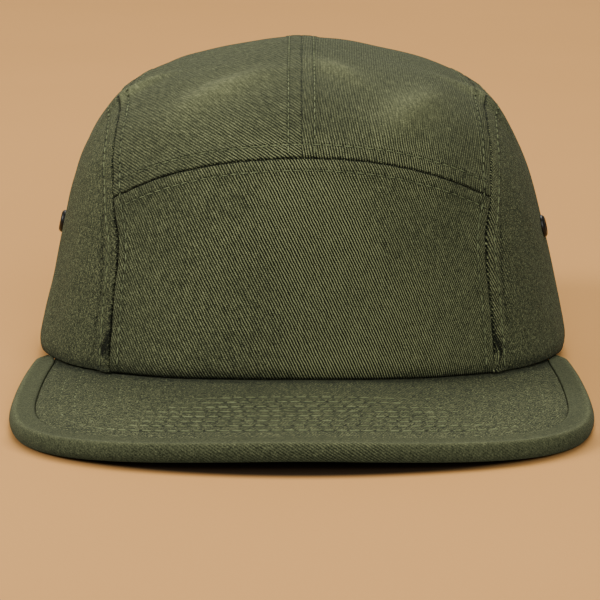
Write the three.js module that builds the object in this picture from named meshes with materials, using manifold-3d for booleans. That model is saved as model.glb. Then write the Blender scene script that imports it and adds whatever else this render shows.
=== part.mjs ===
// A five-panel jockey cap of cotton twill, standing on a surface by itself.
// Millimetres, +Z up. The bill points along -Y and +X is the wearer's left.
import * as THREE from 'three';
import { mergeVertices } from 'three/addons/utils/BufferGeometryUtils.js';
import Module from 'manifold-3d';

// Crown: reach from its own centre line, with a squared oval plan and a flattened dome.
const CROWN = { halfWidth: 87.5, front: 94, back: 98, height: 100.8, squareness: 2.3, dome: 6.6 };
// How far the wall leans in by the top, and how round its shoulder is, in each direction.
const LEAN = { side: 0.232, front: 0.12, back: 0.1 };
const SHOULDER = { side: 1.885, front: 2.2, back: 2.2 };
const HEART = new THREE.Vector3(0, 0, 20);

// Cloth.
const CLOTH = 1.5;
const SEAM_GAP = 0.34;
const REST_GAP = 0.35;

// The rim rises towards the front, where it stands on the bill, and is tucked in at its foot.
const RIM = { frontLift: 11.7, sink: 0.3, tuck: 1.2, backTuck: 0.3, tuckHeight: 5 };

// Half the width between the two side seams, from the front rim over the top to the back rim.
// The angle is taken about the heart, 180 to the front and 0 to the back.
const SIDE_SEAM = [
  { angle: -20, halfWidth: 47 },
  { angle: 0, halfWidth: 47 },
  { angle: 30, halfWidth: 49.5 },
  { angle: 60, halfWidth: 52.8 },
  { angle: 84, halfWidth: 55.3 },
  { angle: 104, halfWidth: 57.4 },
  { angle: 120, halfWidth: 57.8 },
  { angle: 133, halfWidth: 58.5 },
  { angle: 146, halfWidth: 57.8 },
  { angle: 158, halfWidth: 56.2 },
  { angle: 172, halfWidth: 57.9 },
  { angle: 200, halfWidth: 60.8 },
];
// The seam over the front panel lies at nearly one angle. Half its gap is an angle too.
const ARCH_SEAM = { angle: 144.3, endDrop: 1.2, halfGap: 0.13 };
// About how far a top panel runs from the arch seam to the back rim.
const TOP_REACH = 210;

// Soft ridges and dents of the empty crown: a place, a direction, a reach along and across it.
const FOLDS = [
  { x: -27, y: -5, z: 97, dx: 0, dy: 1, dz: 0, along: 60, across: 15, lift: -1.7 },
  { x: 27, y: -5, z: 97, dx: 0, dy: 1, dz: 0, along: 60, across: 15, lift: -1.7 },
  { x: -62, y: 0, z: 82, dx: 0, dy: 1, dz: 0, along: 55, across: 10, lift: 0.3 },
  { x: 62, y: 0, z: 82, dx: 0, dy: 1, dz: 0, along: 55, across: 10, lift: 1.3 },
  { x: -53, y: -15, z: 87.5, dx: 0.8, dy: 0.2, dz: 0.55, along: 14, across: 4, lift: 1.1 },
  { x: 58, y: -17, z: 84, dx: 0.75, dy: -0.25, dz: -0.65, along: 16, across: 4, lift: 1 },
  { x: -22, y: -38, z: 96, dx: 0.33, dy: 0.92, dz: 0.2, along: 18, across: 6, lift: 1 },
  { x: 34, y: -53, z: 88.5, dx: 0.5, dy: 0.85, dz: 0.2, along: 18, across: 6, lift: 1 },
  { x: 12, y: -36, z: 97.5, dx: 0.6, dy: -0.8, dz: -0.15, along: 12, across: 5, lift: 0.7 },
  { x: -78, y: -35, z: 30, dx: 0.2, dy: 0.3, dz: 1, along: 24, across: 11, lift: -0.8 },
  { x: 78, y: 38, z: 34, dx: 0.1, dy: -0.3, dz: 1, along: 24, across: 12, lift: -0.8 },
  { x: -86, y: 5, z: 38, dx: 0, dy: 1, dz: 0, along: 60, across: 24, lift: -1.1 },
  { x: 87, y: 5, z: 20, dx: 0, dy: 1, dz: 0, along: 60, across: 22, lift: 0.8 },
];

// Bill: its plan is a squared oval in front of its widest line and nearly straight behind it.
const BILL = {
  halfWidth: 87.9, widestY: -84, reach: 71, squareness: 3.1, sideBow: 0.0011,
  endY: -33, endRound: 7, endRoundDepth: 2.6, halfThickness: 2, tuckUnder: 4, endTuckUnder: 8.2,
  frontArch: 3, archHalfWidth: 84, archPower: 1.8, sink: 0.2, crowding: 1.3,
};
// The bill is thinner along its edge, where the binding folds round it.
const BILL_EDGE = { clearance: 0.3, fold: 2.4, end: 1.65, endRise: 0.6 };
// Bias binding folded round the bill's outer edge. It narrows where the crown covers its ends.
const BINDING = { width: 7.6, endWidth: 4.2, halfThickness: 2.6, cloth: 0.95, endScale: 0.92 };

const SWEATBAND = { rise: 1, height: 30, thickness: 1.4, gap: 0.45, openHalfWidth: 46 };
const BACK_OPENING = { halfWidth: 33, height: 40 };
const STRAP = { halfLength: 44, bottom: 3, width: 20, thickness: 1.4, gap: 0.5 };
const SLIDER = { x: 14, length: 8, wall: 1.5, clearance: 0.4 };
const EYELET = {
  leftY: -9, rightY: -19, z: 44.1, flange: 3.65, throat: 1.5, barrel: 2.3, thickness: 0.8,
  holeClearance: 0.3,
};

// How finely each piece is divided.
const DIVISIONS = {
  frontAcross: 14, frontUp: 10, topAlong: 24, topInside: 6, topOutside: 2,
  sideAlong: 28, sideUp: 11, bill: 60, band: 48, strap: 16, outline: 900, solve: 40,
};

const twill = new THREE.MeshStandardMaterial({ color: 0x4e4d33, roughness: 0.95, metalness: 0 });
const tape = new THREE.MeshStandardMaterial({ color: 0x45442d, roughness: 0.95, metalness: 0 });
const blackMetal = new THREE.MeshStandardMaterial({ color: 0x141414, roughness: 0.45, metalness: 0.8 });

// Gives the value of a named column of a table at some angle, on a smooth curve through its rows.
function tableAt(rows, key, column, at) {
  const last = rows.length - 1;
  let i = rows.findIndex((row) => row[key] > at) - 1;
  if (i === -2) i = last - 1;
  if (i === -1) i = 0;
  const slope = (k) => {
    const a = rows[Math.max(k - 1, 0)];
    const b = rows[Math.min(k + 1, last)];
    return (b[column] - a[column]) / (b[key] - a[key]);
  };
  const span = rows[i + 1][key] - rows[i][key];
  const s = THREE.MathUtils.clamp((at - rows[i][key]) / span, 0, 1);
  const rise = s * s * (3 - 2 * s);
  return rows[i][column] + rise * (rows[i + 1][column] - rows[i][column])
    + span * (slope(i) * s * (1 - s) ** 2 - slope(i + 1) * s * s * (1 - s));
}

// Finds where a rising test function crosses zero between two values.
function crossing(test, low, high) {
  let a = low;
  let b = high;
  for (let i = 0; i < DIVISIONS.solve; i++) {
    const middle = (a + b) / 2;
    if (test(middle) < 0) a = middle;
    else b = middle;
  }
  return (a + b) / 2;
}

// Under 1 inside the smooth crown and over 1 outside it.
function crownField(p) {
  const z = Math.max(p.z, 0) / CROWN.height;
  const a = p.x / CROWN.halfWidth;
  const b = p.y / (p.y < 0 ? CROWN.front : CROWN.back);
  const side = (a * a) / (a * a + b * b + 1e-9);
  const end = p.y < 0 ? 'front' : 'back';
  const lean = LEAN.side * side + LEAN[end] * (1 - side);
  const shoulder = SHOULDER.side * side + SHOULDER[end] * (1 - side);
  const n = CROWN.squareness;
  const oval = (Math.abs(a) ** n + Math.abs(b) ** n) ** (1 / n);
  return (oval / Math.max(1 - lean * z, 0.05)) ** shoulder + z ** CROWN.dome;
}

function crownAlong(origin, direction) {
  const step = crossing((s) => crownField(origin.clone().addScaledVector(direction, s)) - 1, 0, 160);
  return origin.clone().addScaledVector(direction, step);
}

function crownNormal(p) {
  const e = 0.05;
  const slope = (axis) => {
    const a = p.clone();
    const b = p.clone();
    a[axis] += e;
    b[axis] -= e;
    return crownField(a) - crownField(b);
  };
  const n = new THREE.Vector3(slope('x'), slope('y'), 0);
  n.z = p.z > e ? slope('z') : 0;
  return n.normalize();
}

function azimuthOf(p) {
  return Math.atan2(p.y / (p.y < 0 ? CROWN.front : CROWN.back), p.x / CROWN.halfWidth);
}

function rimHeight(azimuth) {
  return Math.max(RIM.frontLift * ((1 - Math.sin(azimuth)) / 2) ** 2 - RIM.sink, 0);
}

// The crown's point at an azimuth and a height.
function crownAtHeight(azimuth, z) {
  const depth = azimuth < 0 ? CROWN.front : CROWN.back;
  const direction = new THREE.Vector3(CROWN.halfWidth * Math.cos(azimuth), depth * Math.sin(azimuth), 0);
  return crownAlong(new THREE.Vector3(0, 0, z), direction.normalize());
}

// The crown's point on the upright plane at x, at an angle about the heart.
function crownOnStrip(x, angle) {
  const turn = THREE.MathUtils.degToRad(angle);
  const direction = new THREE.Vector3(0, Math.cos(turn), Math.sin(turn));
  return crownAlong(new THREE.Vector3(x, 0, HEART.z), direction);
}

// How far the folds and the tucked foot move the cloth from the smooth crown.
function clothLift(p) {
  let lift = 0;
  for (const fold of FOLDS) {
    const away = p.clone().sub(new THREE.Vector3(fold.x, fold.y, fold.z));
    const line = new THREE.Vector3(fold.dx, fold.dy, fold.dz).normalize();
    const along = away.dot(line);
    const across = Math.sqrt(Math.max(away.lengthSq() - along * along, 0));
    lift += fold.lift * Math.exp(-((along / fold.along) ** 2) - (across / fold.across) ** 2);
  }
  const azimuth = azimuthOf(p);
  const foot = Math.max(1 - Math.max(p.z - rimHeight(azimuth), 0) / RIM.tuckHeight, 0);
  const tuck = RIM.backTuck + (RIM.tuck - RIM.backTuck) * Math.min(1 - Math.sin(azimuth), 1);
  return lift - tuck * foot * foot;
}

// Two points of a cloth layer that lies some depth under the outside of the crown.
function clothPair(p, depth, thickness, onRim) {
  const normal = crownNormal(p);
  const lift = clothLift(p);
  const outer = p.clone().addScaledVector(normal, lift - depth);
  const inner = p.clone().addScaledVector(normal, lift - depth - thickness);
  if (onRim) {
    outer.z = p.z;
    inner.z = p.z;
  }
  return { outer, inner };
}

// Turns points and triangles into one closed geometry that faces outwards.
function closedGeometry(points, triangles) {
  const loose = new THREE.BufferGeometry();
  const flat = points.flatMap((p) => [p.x, p.y, p.z]);
  loose.setAttribute('position', new THREE.Float32BufferAttribute(flat, 3));
  loose.setIndex(triangles);
  const merged = mergeVertices(loose, 1e-3);
  const index = merged.getIndex().array;
  const place = merged.getAttribute('position');
  const corner = (i) => new THREE.Vector3().fromBufferAttribute(place, i);
  const kept = [];
  let volume = 0;
  for (let i = 0; i < index.length; i += 3) {
    const [a, b, c] = [index[i], index[i + 1], index[i + 2]];
    if (a === b || b === c || c === a) continue;
    kept.push([a, b, c]);
    volume += corner(a).dot(corner(b).cross(corner(c)));
  }
  merged.setIndex(kept.flatMap(([a, b, c]) => (volume > 0 ? [a, b, c] : [a, c, b])));
  merged.computeVertexNormals();
  return merged;
}

// Joins a row of thin sections, each a list of outer and inner point pairs, into one closed wall.
function wallGeometry(sections) {
  const loops = sections.map((pairs) => [
    ...pairs.map((pair) => pair.outer),
    ...pairs.map((pair) => pair.inner).reverse(),
  ]);
  const count = loops[0].length;
  const triangles = [];
  const at = (i, k) => i * count + (k % count);
  const quad = (a, b, c, d) => triangles.push(a, b, c, a, c, d);
  for (let i = 0; i + 1 < loops.length; i++) {
    for (let k = 0; k < count; k++) quad(at(i, k), at(i, k + 1), at(i + 1, k + 1), at(i + 1, k));
  }
  const end = loops.length - 1;
  for (let k = 0; k + 1 < count / 2; k++) {
    quad(at(0, k), at(0, count - 1 - k), at(0, count - 2 - k), at(0, k + 1));
    quad(at(end, k), at(end, k + 1), at(end, count - 2 - k), at(end, count - 1 - k));
  }
  return closedGeometry(loops.flat(), triangles);
}

function steps(count) {
  return Array.from({ length: count + 1 }, (_, i) => i / count);
}

// Shares of a line that rises from the rim, with two close steps where the foot is tucked in.
function footSteps(count, reach) {
  const foot = RIM.tuckHeight / Math.max(reach, 4 * RIM.tuckHeight);
  return [0, 0.4 * foot, ...steps(count - 2).map((s) => foot + (1 - foot) * s)];
}

function seamHalfWidth(angle) {
  return tableAt(SIDE_SEAM, 'angle', 'halfWidth', angle);
}

// The angle at which a line of the middle strip reaches the rim, at the front or the back.
function rimAngle(xAt, toBack) {
  const above = (angle) => {
    const p = crownOnStrip(xAt(angle), angle);
    return p.z - rimHeight(azimuthOf(p));
  };
  if (toBack) return crossing(above, -20, 20);
  return crossing((angle) => -above(angle), 160, 200);
}

function archAngle(share) {
  return ARCH_SEAM.angle + ARCH_SEAM.endDrop * share * share;
}

function frontPanel() {
  const sections = steps(DIVISIONS.frontAcross).map((s) => {
    const share = 2 * s - 1;
    const xAt = (angle) => share * (seamHalfWidth(angle) - SEAM_GAP / 2);
    const low = rimAngle(xAt, false);
    const high = archAngle(share) + ARCH_SEAM.halfGap;
    const reach = crownOnStrip(xAt(low), low).distanceTo(crownOnStrip(xAt(high), high));
    return footSteps(DIVISIONS.frontUp, reach).map((t) => {
      const angle = low + (high - low) * t;
      const p = crownOnStrip(xAt(angle), angle);
      if (t === 0) p.z = rimHeight(azimuthOf(p));
      return clothPair(p, 0, CLOTH, t === 0);
    });
  });
  return wallGeometry(sections);
}

// How high the cut back opening stands above the rim at x.
function openingHeight(x) {
  const share = Math.min(Math.abs(x) / BACK_OPENING.halfWidth, 1);
  return BACK_OPENING.height * Math.sqrt(1 - share * share);
}

function topPanel(side) {
  const backHalfWidth = seamHalfWidth(0) - SEAM_GAP;
  const openShare = (BACK_OPENING.halfWidth - SEAM_GAP / 2) / backHalfWidth;
  const shares = [
    ...steps(DIVISIONS.topInside).map((s) => openShare * Math.sin((s * Math.PI) / 2)),
    ...steps(DIVISIONS.topOutside).slice(1).map((s) => openShare + (1 - openShare) * s),
  ];
  const sections = shares.map((share) => {
    const xAt = (angle) => side * (SEAM_GAP / 2 + share * (seamHalfWidth(angle) - SEAM_GAP));
    const foot = (angle) => {
      const p = crownOnStrip(xAt(angle), angle);
      return p.z - Math.max(openingHeight(p.x), rimHeight(azimuthOf(p)));
    };
    const start = archAngle(share) - ARCH_SEAM.halfGap;
    const finish = crossing(foot, -20, 60);
    return footSteps(DIVISIONS.topAlong, TOP_REACH).map((t) => {
      const angle = finish + (start - finish) * t;
      const p = crownOnStrip(xAt(angle), angle);
      const onRim = t === 0 && share >= openShare;
      if (onRim) p.z = rimHeight(azimuthOf(p));
      return clothPair(p, 0, CLOTH, onRim);
    });
  });
  return wallGeometry(sections);
}

// A side panel is a leaf between the rim and the side seam, which meet at its two tips.
function sidePanel(side) {
  const xAt = (angle) => side * (seamHalfWidth(angle) + SEAM_GAP / 2);
  const frontAngle = rimAngle(xAt, false);
  const backAngle = rimAngle(xAt, true);
  const tipAzimuth = (angle) => azimuthOf(crownOnStrip(side * xAt(angle), angle));
  const frontTip = tipAzimuth(frontAngle);
  const backTip = tipAzimuth(backAngle);
  const sections = steps(DIVISIONS.sideAlong).map((s) => {
    const azimuth = frontTip + (backTip - frontTip) * s;
    const rim = crownAtHeight(azimuth, rimHeight(azimuth));
    rim.x *= side;
    const seamAngle = frontAngle + (backAngle - frontAngle) * s;
    const seam = crownOnStrip(xAt(seamAngle), seamAngle);
    const tip = s === 0 || s === 1;
    const low = rim.clone().sub(HEART).normalize();
    const high = seam.clone().sub(HEART).normalize();
    const turn = new THREE.Quaternion().setFromUnitVectors(low, high);
    return footSteps(DIVISIONS.sideUp, rim.distanceTo(seam)).map((t) => {
      const part = new THREE.Quaternion().slerp(turn, t);
      const onRim = t === 0 || tip;
      const p = onRim ? rim.clone() : crownAlong(HEART, low.clone().applyQuaternion(part));
      return clothPair(p, 0, CLOTH, onRim);
    });
  });
  return wallGeometry(sections);
}

// The place on the outside of the crown where an eyelet sits.
function eyeletPlace(side) {
  const y = side < 0 ? EYELET.leftY : EYELET.rightY;
  const p = crownAlong(new THREE.Vector3(0, y, EYELET.z), new THREE.Vector3(side, 0, 0));
  const normal = crownNormal(p);
  return { point: p.addScaledVector(normal, clothLift(p)), normal };
}

function turnedOnto(geometry, { point, normal }) {
  const turn = new THREE.Quaternion().setFromUnitVectors(new THREE.Vector3(0, 1, 0), normal);
  return geometry.applyQuaternion(turn).translate(point.x, point.y, point.z);
}

// A rolled flange outside, a barrel through the cloth and a flat washer inside, in one ring.
function eyelet(side) {
  const top = REST_GAP;
  const under = -(CLOTH + REST_GAP);
  const { throat, barrel, flange, thickness } = EYELET;
  const washer = thickness * 0.7;
  const profile = [
    [throat, under - washer], [flange, under - washer], [flange, under], [barrel, under],
    [barrel, top], [flange, top], [flange - 0.2, top + thickness * 0.7],
    [flange - 1, top + thickness], [throat + 0.3, top + thickness * 0.75], [throat, top],
    [throat, under - washer],
  ];
  const ring = new THREE.LatheGeometry(profile.map(([r, h]) => new THREE.Vector2(r, h)), 18);
  const placed = turnedOnto(ring, eyeletPlace(side));
  placed.deleteAttribute('normal');
  placed.deleteAttribute('uv');
  return mergeVertices(placed, 1e-3);
}

function solidOf(wasm, geometry) {
  const plain = geometry.clone();
  plain.deleteAttribute('normal');
  if (plain.hasAttribute('uv')) plain.deleteAttribute('uv');
  const merged = mergeVertices(plain, 1e-3);
  const vertProperties = Float32Array.from(merged.getAttribute('position').array);
  const triVerts = Uint32Array.from(merged.getIndex().array);
  return new wasm.Manifold(new wasm.Mesh({ numProp: 3, vertProperties, triVerts }));
}

function geometryOf(solid) {
  const mesh = solid.getMesh();
  const geometry = new THREE.BufferGeometry();
  geometry.setAttribute('position', new THREE.Float32BufferAttribute(mesh.vertProperties, 3));
  geometry.setIndex(Array.from(mesh.triVerts));
  geometry.computeVertexNormals();
  return geometry;
}

// A side panel with the eyelet's hole punched through it.
function punchedSidePanel(wasm, side) {
  const punch = new THREE.CylinderGeometry(
    EYELET.barrel + EYELET.holeClearance, EYELET.barrel + EYELET.holeClearance, 12, 18);
  const hole = solidOf(wasm, turnedOnto(punch, eyeletPlace(side)));
  return geometryOf(solidOf(wasm, sidePanel(side)).subtract(hole));
}

// Half of the bill's outline, from the middle of the front edge to the end beside the crown.
function billOutline() {
  const { halfWidth, widestY, reach, squareness, sideBow, endY, endRound, endRoundDepth } = BILL;
  const points = steps(DIVISIONS.outline).map((s) => {
    const turn = (s * Math.PI) / 2;
    const x = halfWidth * Math.sin(turn) ** (2 / squareness);
    const y = widestY - reach * Math.cos(turn) ** (2 / squareness);
    return new THREE.Vector2(x, y);
  });
  for (const s of steps(DIVISIONS.outline).slice(1)) {
    const back = (endY - widestY) * s;
    const round = Math.max(1 - (endY - widestY - back) / endRound, 0);
    const x = halfWidth - sideBow * back * back - endRoundDepth * round * round;
    points.push(new THREE.Vector2(x, widestY + back));
  }
  return points;
}

// The point and outward direction at a share of a line's length.
function alongLine(points, share) {
  const reach = [0];
  for (let i = 1; i < points.length; i++) reach.push(reach[i - 1] + points[i].distanceTo(points[i - 1]));
  const goal = share * reach[points.length - 1];
  let i = reach.findIndex((r) => r > goal);
  if (i < 1) i = points.length - 1;
  const s = (goal - reach[i - 1]) / (reach[i] - reach[i - 1]);
  const point = points[i - 1].clone().lerp(points[i], Math.min(s, 1));
  const ahead = points[i].clone().sub(points[i - 1]).normalize();
  return { point, outward: new THREE.Vector2(ahead.y, -ahead.x) };
}

// Half of the line under the crown's wall that the bill starts from.
function billRoot() {
  const end = Math.asin(BILL.endY / CROWN.front);
  return steps(DIVISIONS.bill).map((s) => {
    const azimuth = -Math.PI / 2 + (end + Math.PI / 2) * s;
    const rim = crownAtHeight(azimuth, rimHeight(azimuth));
    const under = BILL.tuckUnder + (BILL.endTuckUnder - BILL.tuckUnder) * s ** 6;
    const inward = crownNormal(rim).multiplyScalar(-under);
    return new THREE.Vector2(rim.x + inward.x, rim.y + inward.y);
  });
}

// Sections of the bill from its left end to its right end, which both of its pieces share.
function billStations() {
  const outline = billOutline();
  const root = billRoot();
  return steps(DIVISIONS.bill).map((s) => {
    const share = 1 - (1 - Math.abs(2 * s - 1)) ** BILL.crowding;
    const side = 2 * s < 1 ? -1 : 1;
    const edge = alongLine(outline, share);
    const start = alongLine(root, share).point;
    const width = BINDING.width - (BINDING.width - BINDING.endWidth) * share ** 40;
    const inset = edge.point.clone().addScaledVector(edge.outward, -(width + REST_GAP));
    const run = inset.distanceTo(start);
    const arch = Math.max(1 - (edge.point.x / BILL.archHalfWidth) ** BILL.archPower, 0);
    const scale = 1 - (1 - BINDING.endScale) * share ** 8;
    const edgeHeight = BINDING.halfThickness + BILL.frontArch * arch - BILL.sink;
    const rootAzimuth = azimuthOf(new THREE.Vector3(start.x, start.y, 0));
    const rootHeight = rimHeight(rootAzimuth) - REST_GAP - BILL.halfThickness;
    const whole = run + width + REST_GAP;
    const heightAt = (distance) => rootHeight + (edgeHeight - rootHeight) * (distance / whole);
    return {
      width,
      onRun(t, rise) {
        const plan = start.clone().lerp(inset, t);
        return new THREE.Vector3(side * plan.x, plan.y, heightAt(run * t) + rise * scale);
      },
      onEdge(distance, rise) {
        const plan = edge.point.clone().addScaledVector(edge.outward, -distance);
        return new THREE.Vector3(side * plan.x, plan.y, heightAt(whole - distance) + rise * scale);
      },
    };
  });
}

function bill(stations) {
  const under = BINDING.halfThickness - BINDING.cloth - BILL_EDGE.clearance;
  const foldedEdge = (station) => [
    { inset: station.width + BILL_EDGE.clearance, rise: under },
    { inset: BILL_EDGE.fold, rise: under },
    { inset: BILL_EDGE.end, rise: under - BILL_EDGE.endRise },
  ];
  const sections = stations.map((station) => [
    ...steps(3).map((t) => ({
      outer: station.onRun(t, BILL.halfThickness),
      inner: station.onRun(t, -BILL.halfThickness),
    })),
    ...foldedEdge(station).map(({ inset, rise }) => ({
      outer: station.onEdge(inset, rise),
      inner: station.onEdge(inset, -rise),
    })),
  ]);
  return wallGeometry(sections);
}

function billBinding(stations) {
  const { halfThickness, cloth } = BINDING;
  const fold = [
    { inset: 1.4, rise: halfThickness - 0.1, innerInset: 2.2, innerRise: halfThickness - cloth },
    { inset: 0.4, rise: halfThickness - 0.9, innerInset: 1.45, innerRise: halfThickness - cloth - 0.5 },
    { inset: 0, rise: 0.6, innerInset: 1.3, innerRise: 0.5 },
  ];
  const sections = stations.map((station) => {
    const lip = { inset: station.width, rise: halfThickness };
    const upper = [{ ...lip, innerInset: lip.inset, innerRise: halfThickness - cloth }, ...fold];
    const lower = upper.map((row) => ({ ...row, rise: -row.rise, innerRise: -row.innerRise }));
    return [...upper, ...lower.reverse()].map((row) => ({
      outer: station.onEdge(row.inset, row.rise),
      inner: station.onEdge(row.innerInset, row.innerRise),
    }));
  });
  return wallGeometry(sections);
}

// The azimuth at the back where the crown reaches a given x.
function backAzimuth(x) {
  return crossing((azimuth) => x - crownAtHeight(azimuth, 0).x, 0, Math.PI / 2);
}

function sweatband() {
  const start = backAzimuth(SWEATBAND.openHalfWidth);
  const turn = Math.PI + 2 * start;
  const sections = steps(DIVISIONS.band).map((s) => {
    const azimuth = start - turn * s;
    const folded = Math.atan2(Math.sin(azimuth), Math.cos(azimuth));
    return steps(2).map((t) => {
      const z = rimHeight(folded) + SWEATBAND.rise + SWEATBAND.height * t;
      const p = crownAtHeight(folded, z);
      return clothPair(p, CLOTH + SWEATBAND.gap, SWEATBAND.thickness, false);
    });
  });
  return wallGeometry(sections);
}

// The strap's two faces at x and a height, just inside the crown's wall.
function strapPair(x, z) {
  const azimuth = crossing((a) => Math.abs(x) - crownAtHeight(a, z).x, 0, Math.PI / 2);
  const p = crownAtHeight(azimuth, z);
  const pair = clothPair(p, CLOTH + STRAP.gap, STRAP.thickness, false);
  for (const point of [pair.outer, pair.inner]) point.x *= Math.sign(x) || 1;
  return pair;
}

function backStrap() {
  const sections = steps(DIVISIONS.strap).map((s) => {
    const x = STRAP.halfLength * (2 * s - 1);
    return steps(2).map((t) => strapPair(x, STRAP.bottom + STRAP.width * t));
  });
  return wallGeometry(sections);
}

// A plain rectangular loop that the strap runs through.
function strapSlider() {
  const centreAt = (x, rise) => {
    const pair = strapPair(x, STRAP.bottom + STRAP.width * rise);
    return pair.outer.add(pair.inner).multiplyScalar(0.5);
  };
  const up = centreAt(SLIDER.x, 1).sub(centreAt(SLIDER.x, 0)).normalize();
  const ahead = centreAt(SLIDER.x + SLIDER.length / 2, 0.5);
  const behind = centreAt(SLIDER.x - SLIDER.length / 2, 0.5);
  const middle = ahead.clone().add(behind).multiplyScalar(0.5);
  const outward = up.clone().cross(ahead.sub(behind)).normalize();
  const halfDepth = STRAP.thickness / 2 + SLIDER.clearance;
  const halfHeight = STRAP.width / 2 + SLIDER.clearance;
  const frame = new THREE.Shape();
  const hole = new THREE.Path();
  const rectangle = (path, a, b) => path.moveTo(-a, -b).lineTo(a, -b).lineTo(a, b).lineTo(-a, b).closePath();
  rectangle(frame, halfDepth + SLIDER.wall, halfHeight + SLIDER.wall);
  rectangle(hole, halfDepth, halfHeight);
  frame.holes.push(hole);
  const loop = new THREE.ExtrudeGeometry(frame, { depth: SLIDER.length, bevelEnabled: false });
  loop.translate(0, 0, -SLIDER.length / 2);
  const sideways = outward.clone().cross(up);
  const turn = new THREE.Matrix4().makeBasis(outward, up, sideways).setPosition(middle);
  return loop.applyMatrix4(turn);
}

const wasm = await Module();
wasm.setup();

const cap = new THREE.Group();

function addPiece(name, geometry, material) {
  const mesh = new THREE.Mesh(geometry, material);
  mesh.name = name;
  cap.add(mesh);
}

addPiece('front_panel', frontPanel(), twill);
addPiece('top_panel_left', topPanel(-1), twill);
addPiece('top_panel_right', topPanel(1), twill);
addPiece('side_panel_left', punchedSidePanel(wasm, -1), twill);
addPiece('side_panel_right', punchedSidePanel(wasm, 1), twill);
const stations = billStations();
addPiece('bill', bill(stations), twill);
addPiece('bill_binding', billBinding(stations), twill);
addPiece('sweatband', sweatband(), tape);
addPiece('back_strap', backStrap(), tape);
addPiece('strap_slider', strapSlider(), blackMetal);
addPiece('eyelet_left', eyelet(-1), blackMetal);
addPiece('eyelet_right', eyelet(1), blackMetal);

// The origin is under the middle of the whole cap, on the surface that it stands on.
const billFront = BILL.widestY - BILL.reach;
const crownBack = CROWN.back - RIM.backTuck;
cap.position.y = -(billFront + crownBack) / 2;

export default cap;
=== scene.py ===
import math

import bmesh
import bpy
import numpy as np
from mathutils import Matrix, Vector


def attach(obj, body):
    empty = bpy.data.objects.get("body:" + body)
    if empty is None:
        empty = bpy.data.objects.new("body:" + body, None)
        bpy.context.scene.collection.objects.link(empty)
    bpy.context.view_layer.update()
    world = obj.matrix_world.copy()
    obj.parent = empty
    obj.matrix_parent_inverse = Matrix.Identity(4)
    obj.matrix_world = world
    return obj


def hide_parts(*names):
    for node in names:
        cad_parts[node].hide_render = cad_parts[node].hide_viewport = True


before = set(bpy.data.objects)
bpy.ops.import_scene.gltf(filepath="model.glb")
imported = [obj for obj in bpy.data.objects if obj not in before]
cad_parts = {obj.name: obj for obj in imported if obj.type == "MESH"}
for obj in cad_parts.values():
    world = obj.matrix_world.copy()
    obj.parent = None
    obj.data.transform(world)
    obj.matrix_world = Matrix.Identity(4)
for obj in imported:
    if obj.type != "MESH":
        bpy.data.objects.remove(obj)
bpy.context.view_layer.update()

# Sizes are millimetres about the crown's own centre line. Meshes are in metres in the frame.
MM = 0.001

# Crown: reach from its centre line, with a squared oval plan and a flattened dome.
CROWN = {"half_width": 87.5, "front": 94, "back": 98, "height": 100.8, "squareness": 2.3, "dome": 6.6}
LEAN = {"side": 0.232, "front": 0.12, "back": 0.1}
SHOULDER = {"side": 1.885, "front": 2.2, "back": 2.2}
HEART = np.array([0.0, 0.0, 20.0])
CLOTH = 1.5
SEAM_LAP = 0.12
REST_GAP = 0.35
RIM = {"front_lift": 11.7, "sink": 0.3, "tuck": 1.2, "back_tuck": 0.3, "tuck_height": 5}

# Half the width between the side seams, by the angle about the heart: 180 front, 90 up, 0 back.
SIDE_SEAM = [
    {"angle": -20, "half_width": 47},
    {"angle": 0, "half_width": 47},
    {"angle": 30, "half_width": 49.5},
    {"angle": 60, "half_width": 52.8},
    {"angle": 84, "half_width": 55.3},
    {"angle": 104, "half_width": 57.4},
    {"angle": 120, "half_width": 57.8},
    {"angle": 133, "half_width": 58.5},
    {"angle": 146, "half_width": 57.8},
    {"angle": 158, "half_width": 56.2},
    {"angle": 172, "half_width": 57.9},
    {"angle": 200, "half_width": 60.8},
]
ARCH_SEAM = {"angle": 144.3, "end_drop": 1.2, "half_lap": 0.04}

# Soft ridges and dents of the empty crown: a place, a direction, a reach along and across it.
FOLDS = [
    {"at": (-27, -5, 97), "line": (0, 1, 0), "along": 60, "across": 15, "lift": -1.7},
    {"at": (27, -5, 97), "line": (0, 1, 0), "along": 60, "across": 15, "lift": -1.7},
    {"at": (-62, 0, 82), "line": (0, 1, 0), "along": 55, "across": 10, "lift": 0.3},
    {"at": (62, 0, 82), "line": (0, 1, 0), "along": 55, "across": 10, "lift": 1.3},
    {"at": (-53, -15, 87.5), "line": (0.8, 0.2, 0.55), "along": 14, "across": 4, "lift": 1.1},
    {"at": (58, -17, 84), "line": (0.75, -0.25, -0.65), "along": 16, "across": 4, "lift": 1},
    {"at": (-25, -46, 93.5), "line": (0.82, 0.5, 0.3), "along": 17, "across": 6.5, "lift": 1},
    {"at": (34, -55, 88), "line": (0.41, 0.89, 0.19), "along": 21, "across": 6, "lift": 1},
    {"at": (12, -36, 97.5), "line": (0.6, -0.8, -0.15), "along": 12, "across": 5, "lift": 0.7},
    {"at": (-78, -35, 30), "line": (0.2, 0.3, 1), "along": 24, "across": 11, "lift": -0.8},
    {"at": (78, 38, 34), "line": (0.1, -0.3, 1), "along": 24, "across": 12, "lift": -0.8},
    {"at": (-86, 5, 38), "line": (0, 1, 0), "along": 60, "across": 24, "lift": -1.1},
    {"at": (87, 5, 20), "line": (0, 1, 0), "along": 60, "across": 22, "lift": 0.8},
]

# Folds narrower than this are crisp: this many times higher than their lift, and rubbed pale with a painted
# highlight.
NARROW_FOLD = 7
CRISP_FOLD = 2

# The pale cloth, rubbed and with a painted highlight, reaches so many times a narrow fold's width.
# Painted shade darkens the cloth within the other reaches, of the crown's foot, which turns in, and
# of the bill's root.
WEAR_AND_PAINTED_LIGHT = {"reach": 1.5, "foot_reach": 2.4, "root_reach": 1.5, "shade_reach": 15, "shade": 0.3}

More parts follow.
